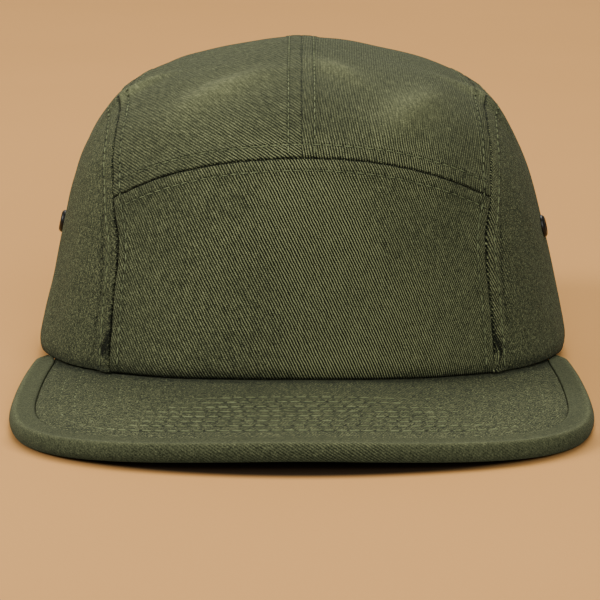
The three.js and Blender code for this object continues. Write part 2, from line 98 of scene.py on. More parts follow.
BILL = {
    "half_width": 87.9, "widest_y": -84, "reach": 71, "squareness": 3.1, "side_bow": 0.0011,
    "end_y": -33, "end_round": 7, "end_round_depth": 2.6, "half_thickness": 2, "tuck_under": 4,
    "end_tuck_under": 8.2, "front_arch": 3, "arch_half_width": 84, "arch_power": 1.8, "sink": 0.2,
    "crowding": 1.3,
}
BINDING = {"width": 7.6, "end_width": 4.2, "half_thickness": 2.6, "cloth": 0.95, "end_scale": 0.92}
SWEATBAND = {
    "rise": 1, "height": 30, "thickness": 1.4, "gap": 0.45, "open_half_width": 46, "cloth_radius": 92,
    "fold": 0.12, "fold_from_edge": 3.2, "fold_reach": 0.5,
}
BACK_OPENING = {"half_width": 33, "height": 40}
STRAP = {
    "half_length": 44, "bottom": 3, "width": 20, "thickness": 1.4, "gap": 0.5, "edge_sink": 0.25,
    "edge_reach": 0.5,
}
EYELET = {
    "left_y": -9, "right_y": -19, "z": 44.1, "flange": 3.65, "throat": 1.5, "barrel": 2.3, "thickness": 1.3,
    "cut": 2.8, "slack": 0.25, "turns": 48,
}
SLIDER_EDGE = 0.4

# Rows of stitching: how far each lies from its seam or edge, and how its thread is laid.
ROW = {"above_arch": 4.6, "below_arch": 4.0, "beside_centre": 4.0, "inside_side": 3.5, "outside_side": 4.5}
OPENING_ROW = 6.0
BILL_ROWS = {"count": 8, "first": 15.0, "pitch": 4.53, "lift": 0.08, "side_sink": 0.3}
SEAM_STITCH = {"pitch": 3.2, "length": 2.5, "radius": 0.23}
BILL_STITCH = {"pitch": 3.75, "length": 3.0, "radius": 0.28}

# How the bill puffs up between its rows, and how far inside its own width a row turns its corner.
QUILTING = {"rise": 0.12, "reach": 0.9, "ripple": 0.05, "ripple_pitch": 11}
CORNER = {"begins": 26, "ends": 4}

# Moves points of the bill up to where the crown's wall can be tested over them.
WALL_ABOVE = np.array([0.0, 0.0, 8.0])

# How the cloth lies beside a seam.
SEAM_ROLL = {"depth": 0.7, "reach": 0.3}
ALLOWANCE = {"rise": 0.35, "beyond": 0.5, "fade": 1.3}
ROW_GROOVE = {"depth": 0.22, "reach": 0.55}
PUCKER = {"lift": 0.09, "pitch": 9.0, "reach": 8.0}

# How far apart a mesh's lines are, near a seam and away from it.
SEAM_STEPS = [
    0, 0.1, 0.22, 0.38, 0.6, 0.9, 1.3, 1.75, 2.2, 2.6, 3.0, 3.3, 3.6, 3.9, 4.2, 4.5, 4.8, 5.2, 5.7, 6.3,
]
SEAM_REACH = 7.0
COARSE = 1.3
TOP_COARSE = 1.45

# The panels' lengths that their meshes are graded by, and the columns round a side panel.
PANEL_SIZE = {"front_across": 114, "front_up": 92, "top_across": 55, "top_up": 215, "side_up": 86}
SIDE_COLUMNS = 176

# How many points the lines have that everything else is measured from.
POINTS = {
    "side_seam": 220, "arch": 90, "centre": 160, "opening": 90, "bill_curve": 901, "bill_root": 121,
    "even_outline": 2000, "even_root": 800, "inset_outline": 400, "bill_row": 400,
}

# How many lines the other meshes have, along and across them.
BILL_LINES = {"stations": 300, "top": 84, "underside": 40}
BINDING_STATIONS = 420
STITCHED_LINES = (500, 60)
SWEATBAND_LINES = (300, 26)
STRAP_LINES = (121, 24)

# The slope of each piece's wales in degrees, and how many more they steepen for each millimetre up.
WALES = {
    "front_panel": (116,), "top_panel_left": (141, 0.5), "top_panel_right": (101, 0.2),
    "side_panel_left": (116,), "side_panel_right": (116,), "bill": (68,), "bill_binding": (35,),
}

# How far up a top panel its wales go on steepening.
EASED = 60.0

# The radius of the head that the side panels' cloth runs round.
HEAD_RADIUS = 88

# A distance that stands for no row or seam nearby.
FAR = 50.0

# Crossings are found by halving a span this often: a span of angles about the heart in which the
# crown's lines end, or one outwards from the centre line to beyond the crown.
HALVINGS = 34
ENDS = {"front": (160, 200), "back": (-20, 20), "over_opening": (-20, 60)}
BEYOND = 160

ORIGIN_Y = -(BILL["widest_y"] - BILL["reach"] + CROWN["back"] - RIM["back_tuck"]) / 2


def unit(v):
    return v / np.linalg.norm(v, axis=-1, keepdims=True)


def smooth(value, low, high):
    """Rises smoothly from 0 at low to 1 at high."""
    t = np.clip((value - low) / (high - low), 0, 1)
    return t * t * (3 - 2 * t)


def hump(value, reach):
    """1 at zero, falling away on both sides over some reach."""
    return np.exp(-((value / reach) ** 2))


def points(x, y, z):
    return np.stack(np.broadcast_arrays(x, y, z), axis=-1).astype(float)


def in_frame(p):
    """Points in millimetres about the crown, as metres in the frame."""
    return (p + np.array([0, ORIGIN_Y, 0])) * MM


def crossing(test, low, high, shape=()):
    """Where a rising test crosses zero between two values, for a whole array at once."""
    low, high = np.full(shape, float(low)), np.full(shape, float(high))
    for _ in range(HALVINGS):
        middle = (low + high) / 2
        under = test(middle) < 0
        low = np.where(under, middle, low)
        high = np.where(under, high, middle)
    return (low + high) / 2


def seam_half_width(angle):
    """A smooth curve through the rows of the side seam's table."""
    at = np.array([row["angle"] for row in SIDE_SEAM], float)
    width = np.array([row["half_width"] for row in SIDE_SEAM], float)
    before = np.maximum(np.arange(len(at)) - 1, 0)
    after = np.minimum(np.arange(len(at)) + 1, len(at) - 1)
    slope = (width[after] - width[before]) / (at[after] - at[before])
    i = np.clip(np.searchsorted(at, angle, side="right") - 1, 0, len(at) - 2)
    span = at[i + 1] - at[i]
    s = np.clip((angle - at[i]) / span, 0, 1)
    rise = s * s * (3 - 2 * s)
    bend = slope[i] * s * (1 - s) ** 2 - slope[i + 1] * s * s * (1 - s)
    return width[i] + rise * (width[i + 1] - width[i]) + span * bend


def by_end(y, sizes):
    """The front's or the back's one of some sizes."""
    return np.where(y < 0, sizes["front"], sizes["back"])


def crown_field(p):
    """Under 1 inside the smooth crown and over 1 outside it."""
    x, y = p[..., 0], p[..., 1]
    height = np.maximum(p[..., 2], 0) / CROWN["height"]
    a = x / CROWN["half_width"]
    b = y / by_end(y, CROWN)
    side = a * a / (a * a + b * b + 1e-9)
    lean, shoulder = (sizes["side"] * side + by_end(y, sizes) * (1 - side) for sizes in (LEAN, SHOULDER))
    n = CROWN["squareness"]
    oval = (np.abs(a) ** n + np.abs(b) ** n) ** (1 / n)
    return (oval / np.maximum(1 - lean * height, 0.05)) ** shoulder + height ** CROWN["dome"]


def crown_along(origin, direction):
    step = crossing(
        lambda s: crown_field(origin + direction * s[..., None]) - 1, 0, BEYOND, direction.shape[:-1])
    return origin + direction * step[..., None]


def crown_normal(p):
    nudge = 0.05
    slopes = [crown_field(p + away) - crown_field(p - away) for away in np.eye(3) * nudge]
    slopes[2] = np.where(p[..., 2] > nudge, slopes[2], 0)
    return unit(np.stack(slopes, axis=-1))


def azimuth_of(p):
    return np.arctan2(p[..., 1] / by_end(p[..., 1], CROWN), p[..., 0] / CROWN["half_width"])


def rim_height(azimuth):
    return np.maximum(RIM["front_lift"] * ((1 - np.sin(azimuth)) / 2) ** 2 - RIM["sink"], 0)


def crown_at_height(azimuth, z):
    """The crown's points at azimuths and heights."""
    depth = by_end(azimuth, CROWN)
    direction = points(CROWN["half_width"] * np.cos(azimuth), depth * np.sin(azimuth), 0 * z)
    return crown_along(points(0 * azimuth, 0, z), unit(direction))


def rim_under(p):
    """The height of the rim under points of the crown."""
    return rim_height(azimuth_of(p))


def rim_at(azimuth):
    return crown_at_height(azimuth, rim_height(azimuth))


def crown_on_strip(x, angle):
    """The crown's points on upright planes at x, at angles about the heart."""
    turn = np.radians(angle)
    direction = points(0 * x, np.cos(turn), np.sin(turn))
    return crown_along(points(x, 0 * direction[..., 0], HEART[2]), direction)


def fold_share(p, fold, widened=1):
    """1 on the middle of a fold, falling away along it and across it."""
    away = p - np.array(fold["at"], float)
    along = away @ unit(np.array(fold["line"], float))
    across_squared = np.maximum((away**2).sum(-1) - along**2, 0)
    return np.exp(-((along / fold["along"]) ** 2) - across_squared / (widened * fold["across"]) ** 2)


def cloth_lift(p):
    """How far the folds and the tucked foot move the cloth from the smooth crown."""
    lift = np.zeros(p.shape[:-1])
    for fold in FOLDS:
        lift += fold["lift"] * (CRISP_FOLD if fold["across"] < NARROW_FOLD else 1) * fold_share(p, fold)
    azimuth = azimuth_of(p)
    foot = np.maximum(1 - np.maximum(p[..., 2] - rim_height(azimuth), 0) / RIM["tuck_height"], 0)
    tuck = RIM["back_tuck"] + (RIM["tuck"] - RIM["back_tuck"]) * np.minimum(1 - np.sin(azimuth), 1)
    return lift - tuck * foot * foot


def soft_waves(p):
    """A slight unevenness, so that the cloth isn't a perfect shell."""
    x, y, z = p[..., 0], p[..., 1], p[..., 2]
    waves = np.sin(0.11 * x + 0.07 * z + 1.3) * np.sin(0.09 * y - 0.06 * z)
    waves += 0.6 * np.sin(0.19 * z - 0.13 * x + 0.4) * np.cos(0.17 * y + 0.11 * x)
    waves += 0.4 * np.sin(0.31 * x + 0.23 * y + 0.27 * z)
    return 0.16 * waves


def reach_along(line):
    """How far along a line of points each of them lies."""
    return np.concatenate([[0], np.cumsum(np.linalg.norm(np.diff(line, axis=0), axis=1))])


def read_along(at, reach, line):
    """What a line of points or directions is at places along it."""
    return np.stack([np.interp(at, reach, column) for column in line.T], axis=-1)


def resampled(line, count):
    """The same line with its points evenly spaced."""
    reach = reach_along(line)
    return read_along(np.linspace(0, reach[-1], count), reach, line)


def distance_to_line(p, line):
    """How far each point is from a line of points, and how far along the line it lies."""
    near = np.full(len(p), np.inf)
    along = np.zeros(len(p))
    for start, end, begun in zip(line[:-1], line[1:], reach_along(line)):
        span = end - start
        length = np.linalg.norm(span)
        t = np.clip((p - start) @ span / length**2, 0, 1)
        away = np.linalg.norm(p - start - t[:, None] * span, axis=1)
        closer = away < near
        near = np.where(closer, away, near)
        along = np.where(closer, begun + t * length, along)
    return near, along


def beside(line, distance):
    """A line moved over the crown, to the left of its own direction when seen from outside."""
    ahead = unit(np.gradient(line, axis=0))
    moved = line + np.cross(crown_normal(line), ahead) * distance
    return crown_along(HEART, unit(moved - HEART))


def mirrored(line):
    return line * np.array([-1.0, 1.0, 1.0])


def rim_angle(width_at, end):
    """The angle at which lines of the middle strip reach the rim, at the front or the back."""
    rising = -1 if end == "front" else 1

    def above(angle):
        p = crown_on_strip(width_at(angle), angle)
        return rising * (p[..., 2] - rim_under(p))
    return crossing(above, *ENDS[end], np.shape(width_at(np.array(0.0))))


def arch_angle(share):
    return ARCH_SEAM["angle"] + ARCH_SEAM["end_drop"] * share * share


def opening_height(x):
    share = np.minimum(np.abs(x) / BACK_OPENING["half_width"], 1)
    return BACK_OPENING["height"] * np.sqrt(1 - share * share)


def side_seam_line():
    ends = (rim_angle(seam_half_width, end) for end in ("front", "back"))
    angles = np.linspace(*ends, POINTS["side_seam"])
    return crown_on_strip(seam_half_width(angles), angles)


def arch_seam_line():
    share = np.linspace(-1, 1, POINTS["arch"])
    angles = arch_angle(share)
    return crown_on_strip(share * seam_half_width(angles), angles)


def centre_seam_line():
    above = lambda angle: crown_on_strip(np.array(0.0), angle)[..., 2] - BACK_OPENING["height"]
    end = crossing(above, *ENDS["over_opening"])
    angles = np.linspace(arch_angle(0), end, POINTS["centre"])
    return crown_on_strip(0 * angles, angles)


def opening_line():
    turn = np.linspace(0, math.pi, POINTS["opening"])
    x = -BACK_OPENING["half_width"] * np.cos(turn)
    foot = lambda angle: crown_on_strip(x, angle)[..., 2] - opening_height(x)
    return crown_on_strip(x, crossing(foot, *ENDS["over_opening"], x.shape))


def stitch_row(seam, away, side=1, roll=1.0, faint=0.0):
    """A row of stitching to the left of a seam when seen from outside, or to its right for side -1.

    A seam with less roll is pressed flatter, and a faint one has a thinner line of painted shade in its
    crease.
    """
    return {"seam": seam, "line": beside(seam, side * away), "away": away, "roll": roll, "faint": faint}


# The seams as lines on the crown, and the rows of stitching beside them.
RIGHT_SEAM = side_seam_line()
ARCH = arch_seam_line()
CENTRE = centre_seam_line()
PRESSED = {"roll": 0.2, "faint": 0.25}
ROWS = {
    "right_inside": stitch_row(RIGHT_SEAM, ROW["inside_side"]),
    "right_outside": stitch_row(RIGHT_SEAM, ROW["outside_side"], -1),
    "above_arch": stitch_row(ARCH, ROW["above_arch"]),
    "below_arch": stitch_row(ARCH, ROW["below_arch"], -1),
    "centre_left": stitch_row(CENTRE, ROW["beside_centre"], **PRESSED),
    "centre_right": stitch_row(CENTRE, ROW["beside_centre"], -1, **PRESSED),
    "opening": stitch_row(opening_line(), OPENING_ROW, -1),
}
for where_beside in ("inside", "outside"):
    right_row = ROWS["right_" + where_beside]
    ROWS["left_" + where_beside] = dict(
        right_row, seam=mirrored(right_row["seam"]), line=mirrored(right_row["line"]))

# The rows that each panel of the crown carries, each beside its seam.
PANEL_ROWS = {
    "front_panel": ("below_arch", "left_inside", "right_inside"),
    "top_panel_left": ("above_arch", "centre_left", "left_inside", "opening"),
    "top_panel_right": ("above_arch", "centre_right", "right_inside", "opening"),
    "side_panel_left": ("left_outside",),
    "side_panel_right": ("right_outside",),
}


def panel_relief(name, p):
    """How cloth lies: rolled in at a seam, thicker over its allowance, pulled down by the thread."""
    relief = cloth_lift(p) + soft_waves(p)
    for row in (ROWS[key] for key in PANEL_ROWS[name]):
        distance, along = distance_to_line(p, row["seam"])
        relief -= SEAM_ROLL["depth"] * row["roll"] * hump(distance, SEAM_ROLL["reach"])
        edge = row["away"] + ALLOWANCE["beyond"]
        relief += ALLOWANCE["rise"] * (1 - smooth(distance, edge, edge + ALLOWANCE["fade"]))
        relief -= ROW_GROOVE["depth"] * hump(distance - row["away"], ROW_GROOVE["reach"])
        wander = 2 * np.pi * along / PUCKER["pitch"] + 1.8 * np.sin(along / 14)
        relief += PUCKER["lift"] * np.sin(wander) * hump(distance, PUCKER["reach"])
    return relief


def crown_wear_and_painted_light(p):
    """Over 0 where narrow folds have rubbed the cloth pale, with a painted highlight on their crests, and
    under 0 for painted shade where its foot turns in.
    """
    narrow = [fold for fold in FOLDS if fold["across"] < NARROW_FOLD]
    rubbed_and_highlit = sum(fold_share(p, fold, WEAR_AND_PAINTED_LIGHT["reach"]) for fold in narrow)
    above_rim = p[:, 2] - rim_under(p)
    return np.minimum(rubbed_and_highlit, 1) - hump(above_rim, WEAR_AND_PAINTED_LIGHT["foot_reach"])


def bill_root_shade(p):
    """Under 0 on the bill near the crown, for painted shade where the crown shades it."""
    p = p * np.array([1, 1, 0]) + WALL_ABOVE
    step = np.eye(3)[:2] * 0.1
    slope = np.hypot(*((crown_field(p + by) - crown_field(p - by)) / 0.2 for by in step))
    gap = np.maximum(crown_field(p) - 1, 0) / slope
    return -hump(gap, WEAR_AND_PAINTED_LIGHT["root_reach"]) - WEAR_AND_PAINTED_LIGHT["shade"] * hump(gap, WEAR_AND_PAINTED_LIGHT["shade_reach"])


def row_coordinates(name, p):
    """How far a point is from the nearest row of stitching, along that row, and from the nearest seam."""
    near = np.full(len(p), FAR)
    along = np.zeros(len(p))
    seam_near = np.full(len(p), FAR)
    for key in PANEL_ROWS[name]:
        row = ROWS[key]
        distance, run = distance_to_line(p, row["line"])
        closer = distance < near
        near = np.where(closer, distance, near)
        along = np.where(closer, run, along)
        if key != "opening":
            seam_near = np.minimum(seam_near, distance_to_line(p, row["seam"])[0] + row["faint"])
    return near, along, seam_near


def graded(length, fine_low=True, fine_high=True, coarse=COARSE):
    """Shares of a line of some length, close together at the ends that carry a seam."""
    close = np.array(SEAM_STEPS, float)
    start = SEAM_REACH if fine_low else 0.0
    end = length - SEAM_REACH if fine_high else length
    middle = np.linspace(start, end, max(int((end - start) / coarse), 2) + 1)
    low = close if fine_low else close[:0]
    high = length - close[::-1] if fine_high else close[:0]
    return np.concatenate([low, middle, high]) / length


def grid_of(columns, rows):
    """A flat grid, with the column and row of each of its vertices."""
    bm = bmesh.new()
    bmesh.ops.create_grid(bm, x_segments=columns - 1, y_segments=rows - 1, size=0.5)
    flat = np.array([v.co[:2] for v in bm.verts]) + 0.5
    column = np.rint(flat[:, 0] * (columns - 1)).astype(int)
    row = np.rint(flat[:, 1] * (rows - 1)).astype(int)
    return bm, column, row


def place(bm, where):
    for vertex, co in zip(bm.verts, in_frame(where)):
        vertex.co = co


def face_outwards(bm, outward):
    """Turns an open sheet over if most of its faces look inwards."""
    bm.verts.ensure_lookup_table()
    bm.normal_update()
    facing = sum(face.normal.dot(Vector(outward[face.verts[0].index])) for face in bm.faces)
    if facing < 0:
        bmesh.ops.reverse_faces(bm, faces=bm.faces[:])


def mesh_from(name, bm, finish):
    mesh = bpy.data.meshes.new(name)
    bm.to_mesh(mesh)
    bm.free()
    mesh.materials.append(finish)
    return mesh


def added(name, data):
    """A new object in the scene."""
    thing = bpy.data.objects.new(name, data)
    bpy.context.scene.collection.objects.link(thing)
    return thing


def piece_from(name, bm, finish, cad_nodes=(), slot=None, weave=None, rows=None, wear=None):
    """Makes a named piece that rides on the frame, with its cloth coordinates as map and attribute."""
    mesh = mesh_from(name, bm, finish)
    mesh.shade_smooth()
    if weave is not None:
        corner = np.empty(len(mesh.loops), np.int32)
        mesh.loops.foreach_get("vertex_index", corner)
        layer = mesh.uv_layers.new(name="weave")
        layer.data.foreach_set("uv", weave[corner].astype(np.float32).ravel())
    if rows is not None:
        attribute = mesh.attributes.new("stitch_row", "FLOAT_VECTOR", "POINT")
        packed = np.stack(rows, axis=-1)
        attribute.data.foreach_set("vector", packed.astype(np.float32).ravel())
    if wear is not None:
        attribute = mesh.attributes.new("wear", "FLOAT", "POINT")
        attribute.data.foreach_set("value", wear.astype(np.float32))
    piece = added(name, mesh)
    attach(piece, "root")
    if cad_nodes:
        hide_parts(*cad_nodes)
    return piece


def give_thickness(piece, thickness):
    wall = piece.modifiers.new("cloth", "SOLIDIFY")
    wall.thickness = thickness * MM
    wall.offset = -1
    wall.use_even_offset = False
    return piece


def turned(across, up, angle, steepen=0.0):
    """Cloth coordinates with the second one along wales that slope at an angle to the right.

    Where the cloth is eased over the crown, they steepen by some degrees for each millimetre up.
    """
    a, change = math.radians(angle), math.radians(steepen)
    lane = across * math.sin(a) - up * math.cos(a)
    if steepen:
        eased = np.clip(up, 0, EASED)
        end = a - change * eased
        bent = across + np.log(np.sin(end) / math.sin(a)) / change
        lane = math.sin(a) * (bent - (up - eased) / np.tan(end))
    return np.stack([lane, across * math.cos(a) + up * math.sin(a)], -1)


def lengths_from(p, axis, start):
    """How far each point of a grid of points lies from one line of the grid, along the other lines."""
    steps = np.linalg.norm(np.diff(p, axis=axis), axis=2)
    shape = list(p.shape[:2])
    shape[axis] = 1
    reach = np.concatenate([np.zeros(shape), np.cumsum(steps, axis=axis)], axis=axis)
    return reach - np.take(reach, [start], axis=axis)


def crown_panel(name, p, finish, across, up, holes=()):
    """A panel of the crown from a grid of points on the smooth crown, columns first."""
    bm, column, row = grid_of(*p.shape[:2])
    on_crown = p[column, row]
    normal = crown_normal(on_crown)
    outside = on_crown + normal * panel_relief(name, on_crown)[:, None]
    at_rim = on_crown[:, 2] <= rim_under(on_crown) + 0.02
    outside[at_rim, 2] = on_crown[at_rim, 2]
    place(bm, outside)
    face_outwards(bm, normal)
    weave = turned(across[column, row], up[column, row], *WALES[name])
    rows = row_coordinates(name, on_crown)
    wear = crown_wear_and_painted_light(on_crown)
    if holes:
        mesh_holes(bm, holes)
        kept = [v.index for v in bm.verts]
        weave, rows, wear = weave[kept], [value[kept] for value in rows], wear[kept]
    piece = piece_from(name, bm, finish, [name], "twill", weave, rows, wear)
    return give_thickness(piece, CLOTH)


def mesh_holes(bm, holes):
    """Cuts away the faces round each hole, which a ring then covers."""
    bm.verts.index_update()
    for centre, radius in holes:
        middle = Vector(in_frame(np.array(centre)))
        doomed = [f for f in bm.faces if (f.calc_center_median() - middle).length < radius * MM]
        bmesh.ops.delete(bm, geom=doomed, context="FACES")


def front_panel(finish):
    share = 2 * graded(PANEL_SIZE["front_across"]) - 1
    low = rim_angle(lambda angle: share * (seam_half_width(angle) + SEAM_LAP / 2), "front")
    high = arch_angle(share) - ARCH_SEAM["half_lap"]
    t = graded(PANEL_SIZE["front_up"], fine_low=False)
    angle = low[:, None] + (high - low)[:, None] * t[None, :]
    p = crown_on_strip(share[:, None] * (seam_half_width(angle) + SEAM_LAP / 2), angle)
    p[:, 0, 2] = rim_under(p[:, 0])
    across, up = lengths_from(p, 0, len(share) // 2), lengths_from(p, 1, -1)
    return crown_panel("front_panel", p, finish, across, up)


def top_panel(name, side, finish):
    share = graded(PANEL_SIZE["top_across"])
    back_half_width = seam_half_width(np.array(0.0)) + SEAM_LAP
    open_share = (BACK_OPENING["half_width"] + SEAM_LAP / 2) / back_half_width

    def on_panel(share, angle):
        return crown_on_strip(share * (seam_half_width(angle) + SEAM_LAP) - SEAM_LAP / 2, angle)

    def above(angle):
        q = on_panel(share, angle)
        return q[..., 2] - np.maximum(opening_height(q[..., 0]), rim_under(q))
    foot = crossing(above, *ENDS["over_opening"], share.shape)
    start = arch_angle(share) + ARCH_SEAM["half_lap"]
    t = graded(PANEL_SIZE["top_up"], coarse=TOP_COARSE)
    p = on_panel(share[:, None], foot[:, None] + (start - foot)[:, None] * t[None, :])
    flat_back = share >= open_share
    p[flat_back, 0, 2] = rim_under(p[flat_back, 0])
    p[..., 0] *= side
    return crown_panel(name, p, finish, side * lengths_from(p, 0, 0), -lengths_from(p, 1, -1))


def side_panel(name, side, finish):
    width_at = lambda angle: seam_half_width(angle) - SEAM_LAP / 2
    on_edge = lambda angle: crown_on_strip(width_at(angle), angle)
    front, back = (rim_angle(width_at, end) for end in ("front", "back"))
    s = np.linspace(0, 1, SIDE_COLUMNS)
    first, last = azimuth_of(on_edge(front)), azimuth_of(on_edge(back))
    azimuth = first + (last - first) * s
    rim = rim_at(azimuth)
    seam = on_edge(front + (back - front) * s)
    low = unit(rim - HEART)[:, None]
    high = unit(seam - HEART)[:, None]
    arc = np.arccos(np.clip((low * high).sum(-1), -1, 1))[..., None]
    share = graded(PANEL_SIZE["side_up"], fine_low=False)[None, :, None]
    leaf = (np.sin((1 - share) * arc) * low + np.sin(share * arc) * high) / np.maximum(np.sin(arc), 1e-6)
    p = crown_along(HEART, unit(np.where(arc > 1e-5, leaf, low)))
    p[:, 0] = rim
    # The cloth runs level round the head, so its coordinates are the azimuth and the height.
    across = side * HEAD_RADIUS * azimuth_of(p)
    p[..., 0] *= side
    return crown_panel(name, p, finish, across, p[..., 2], [(eyelet_place(side)[0], EYELET["cut"])])


def eyelet_place(side):
    """The place on the outside of the crown where an eyelet sits, and its outward direction."""
    y = EYELET["left_y"] if side < 0 else EYELET["right_y"]
    p = crown_along(np.array([[0.0, y, EYELET["z"]]]), np.array([[float(side), 0.0, 0.0]]))
    normal = crown_normal(p)
    name = "side_panel_left" if side < 0 else "side_panel_right"
    return (p + normal * panel_relief(name, p)[:, None])[0], normal[0]


def eyelet(name, side, finish):
    """A rolled ring outside, a barrel through the cloth and a washer inside, turned in one piece."""
    centre, normal = eyelet_place(side)
    throat, barrel, flange, proud = (EYELET[k] for k in ("throat", "barrel", "flange", "thickness"))
    inside = -(CLOTH + EYELET["slack"])
    profile = [
        (throat, inside - 0.5), (flange - 0.1, inside - 0.5), (flange, inside - 0.3), (flange, inside),
        (barrel, inside), (barrel, -0.1), (flange, -0.1), (flange + 0.05, 0.25), (flange - 0.15, 0.75),
        (flange - 0.6, proud - 0.15), (flange - 1.15, proud), (throat + 0.6, proud - 0.12),
        (throat + 0.15, proud - 0.5), (throat, proud - 0.9),
    ]
    bm = bmesh.new()
    ring = [bm.verts.new((r * MM, 0, h * MM)) for r, h in profile]
    edges = [bm.edges.new((a, b)) for a, b in zip(ring, ring[1:] + ring[:1])]
    bmesh.ops.spin(
        bm, geom=ring + edges, axis=(0, 0, 1), cent=(0, 0, 0), steps=EYELET["turns"], angle=2 * math.pi,
        use_merge=True)
    bmesh.ops.remove_doubles(bm, verts=bm.verts[:], dist=1e-6)
    bmesh.ops.recalc_face_normals(bm, faces=bm.faces[:])
    turn = Vector((0, 0, 1)).rotation_difference(Vector(normal)).to_matrix().to_4x4()
    bmesh.ops.transform(bm, matrix=Matrix.Translation(in_frame(centre)) @ turn, verts=bm.verts[:])
    return piece_from(name, bm, finish, [name], "black_metal")


def bill_outline():
    """Half of the bill's plan, from the middle of the front edge to the end beside the crown."""
    turn = np.linspace(0, math.pi / 2, POINTS["bill_curve"])
    power = 2 / BILL["squareness"]
    curved = np.stack([
        BILL["half_width"] * np.sin(turn) ** power,
        BILL["widest_y"] - BILL["reach"] * np.cos(turn).clip(0) ** power,
    ], axis=-1)
    straight = BILL["end_y"] - BILL["widest_y"]
    back = straight * np.linspace(0, 1, POINTS["bill_curve"])[1:]
    rounding = np.maximum(1 - (straight - back) / BILL["end_round"], 0)
    bowed = BILL["half_width"] - BILL["side_bow"] * back**2 - BILL["end_round_depth"] * rounding**2
    return np.concatenate([curved, np.stack([bowed, BILL["widest_y"] + back], axis=-1)])


def bill_root():
    """Half of the line under the crown's wall that the bill starts from."""
    end = math.asin(BILL["end_y"] / CROWN["front"])
    s = np.linspace(0, 1, POINTS["bill_root"])
    azimuth = -math.pi / 2 + (end + math.pi / 2) * s
    rim = rim_at(azimuth)
    under = BILL["tuck_under"] + (BILL["end_tuck_under"] - BILL["tuck_under"]) * s**6
    return (rim - crown_normal(rim) * under[:, None])[:, :2]


class BillStations:
    """Sections of the bill from its left end to its right end, which both of its pieces share."""

    def __init__(self, count):
        s = np.linspace(0, 1, count)
        self.share = 1 - (1 - np.abs(2 * s - 1)) ** BILL["crowding"]
        self.side = np.where(s < 0.5, -1.0, 1.0)
        outline = resampled(bill_outline(), POINTS["even_outline"])
        self.edge = self.along(outline)
        ahead = unit(self.along(unit(np.gradient(outline, axis=0))))
        self.outward = np.stack([ahead[:, 1], -ahead[:, 0]], axis=-1)
        self.start = self.along(resampled(bill_root(), POINTS["even_root"]))
        self.width = BINDING["width"] - (BINDING["width"] - BINDING["end_width"]) * self.share**40
        self.inset = self.edge - self.outward * (self.width + REST_GAP)[:, None]
        self.run = np.linalg.norm(self.inset - self.start, axis=1)
        arch = np.maximum(1 - (self.edge[:, 0] / BILL["arch_half_width"]) ** BILL["arch_power"], 0)
        self.scale = 1 - (1 - BINDING["end_scale"]) * self.share**8
        self.edge_height = BINDING["half_thickness"] + BILL["front_arch"] * arch - BILL["sink"]
        azimuth = azimuth_of(points(self.start[:, 0], self.start[:, 1], 0))
        self.root_height = rim_height(azimuth) - REST_GAP - BILL["half_thickness"]
        self.whole = self.run + self.width + REST_GAP

    def along(self, line):
        """An evenly spaced line, read at each station's share of it."""
        return read_along(self.share * (len(line) - 1), np.arange(len(line)), line)

    def lifted(self, plan, distance, rise):
        """Points over a plan, some distance from the root and some rise from the bill's middle."""
        middle = self.root_height + (self.edge_height - self.root_height) * (distance / self.whole)
        return points(self.side * plan[:, 0], plan[:, 1], middle + rise * self.scale)

    def on_run(self, t, rise):
        """Points at a share t of the way from the root to the binding."""
        return self.lifted(self.start + (self.inset - self.start) * t, self.run * t, rise)

    def on_edge(self, distance, rise):
        """Points some distance in from the outline."""
        plan = self.edge - self.outward * np.broadcast_to(distance, self.share.shape)[:, None]
        return self.lifted(plan, self.whole - distance, rise)


def outline_inset(plan):
    """How far points of the bill's plan lie in from its outline, and how far along it."""
    half = resampled(bill_outline(), POINTS["inset_outline"])
    return distance_to_line(plan, np.concatenate([half[::-1] * np.array([-1, 1]), half[1:]]))


def bill_row_relief(inset, along):
    """The shallow quilting that the rows of stitching draw into the bill."""
    rows = BILL_ROWS["first"] + BILL_ROWS["pitch"] * np.arange(BILL_ROWS["count"])
    nearest = np.abs(inset[:, None] - rows).min(axis=1)
    puffed = QUILTING["rise"] * (1 - hump(nearest, QUILTING["reach"]))
    phase = 2 * np.pi * along / QUILTING["ripple_pitch"]
    ripple = QUILTING["ripple"] * np.sin(phase + 0.8 * np.sin(inset))
    return puffed + ripple, nearest


def round_the_corner(x, inset):
    """0 along the front of the bill and 1 beside the crown, where its rows sink into the cloth."""
    reach = BILL["half_width"] - inset
    return smooth(np.abs(x), reach - CORNER["begins"], reach - CORNER["ends"])


def closed_strip(loops):
    """A grid whose rows go once round each section, with the row and the place of each vertex."""
    loops = np.concatenate([loops, loops[:, :1]], axis=1)
    bm, column, row = grid_of(*loops.shape[:2])
    return bm, row, loops[column, row]


def close_up(bm):
    """Merges what meets, closes both ends and turns every face outwards."""
    bmesh.ops.remove_doubles(bm, verts=bm.verts[:], dist=1e-6)
    open_edges = [e for e in bm.edges if e.is_boundary]
    bmesh.ops.holes_fill(bm, edges=open_edges, sides=0)
    bmesh.ops.recalc_face_normals(bm, faces=bm.faces[:])


LAYERS = ("u", "v", "near", "along", "wear")


def layered(bm, *columns):
    """Keeps each vertex's cloth coordinates, and its wear and painted light and shade, in layers while
    vertices are merged.
    """
    layers = [bm.verts.layers.float.new(name) for name in LAYERS]
    for vertex, value in zip(bm.verts, np.column_stack(columns)):
        for layer, number in zip(layers, value):
            vertex[layer] = number
    return layers


def unlayered(bm, layers):
    values = np.array([[v[layer] for layer in layers] for v in bm.verts])
    for name in LAYERS:
        bm.verts.layers.float.remove(bm.verts.layers.float[name])
    return values[:, :2], (values[:, 2], values[:, 3], np.full(len(values), FAR)), values[:, 4]


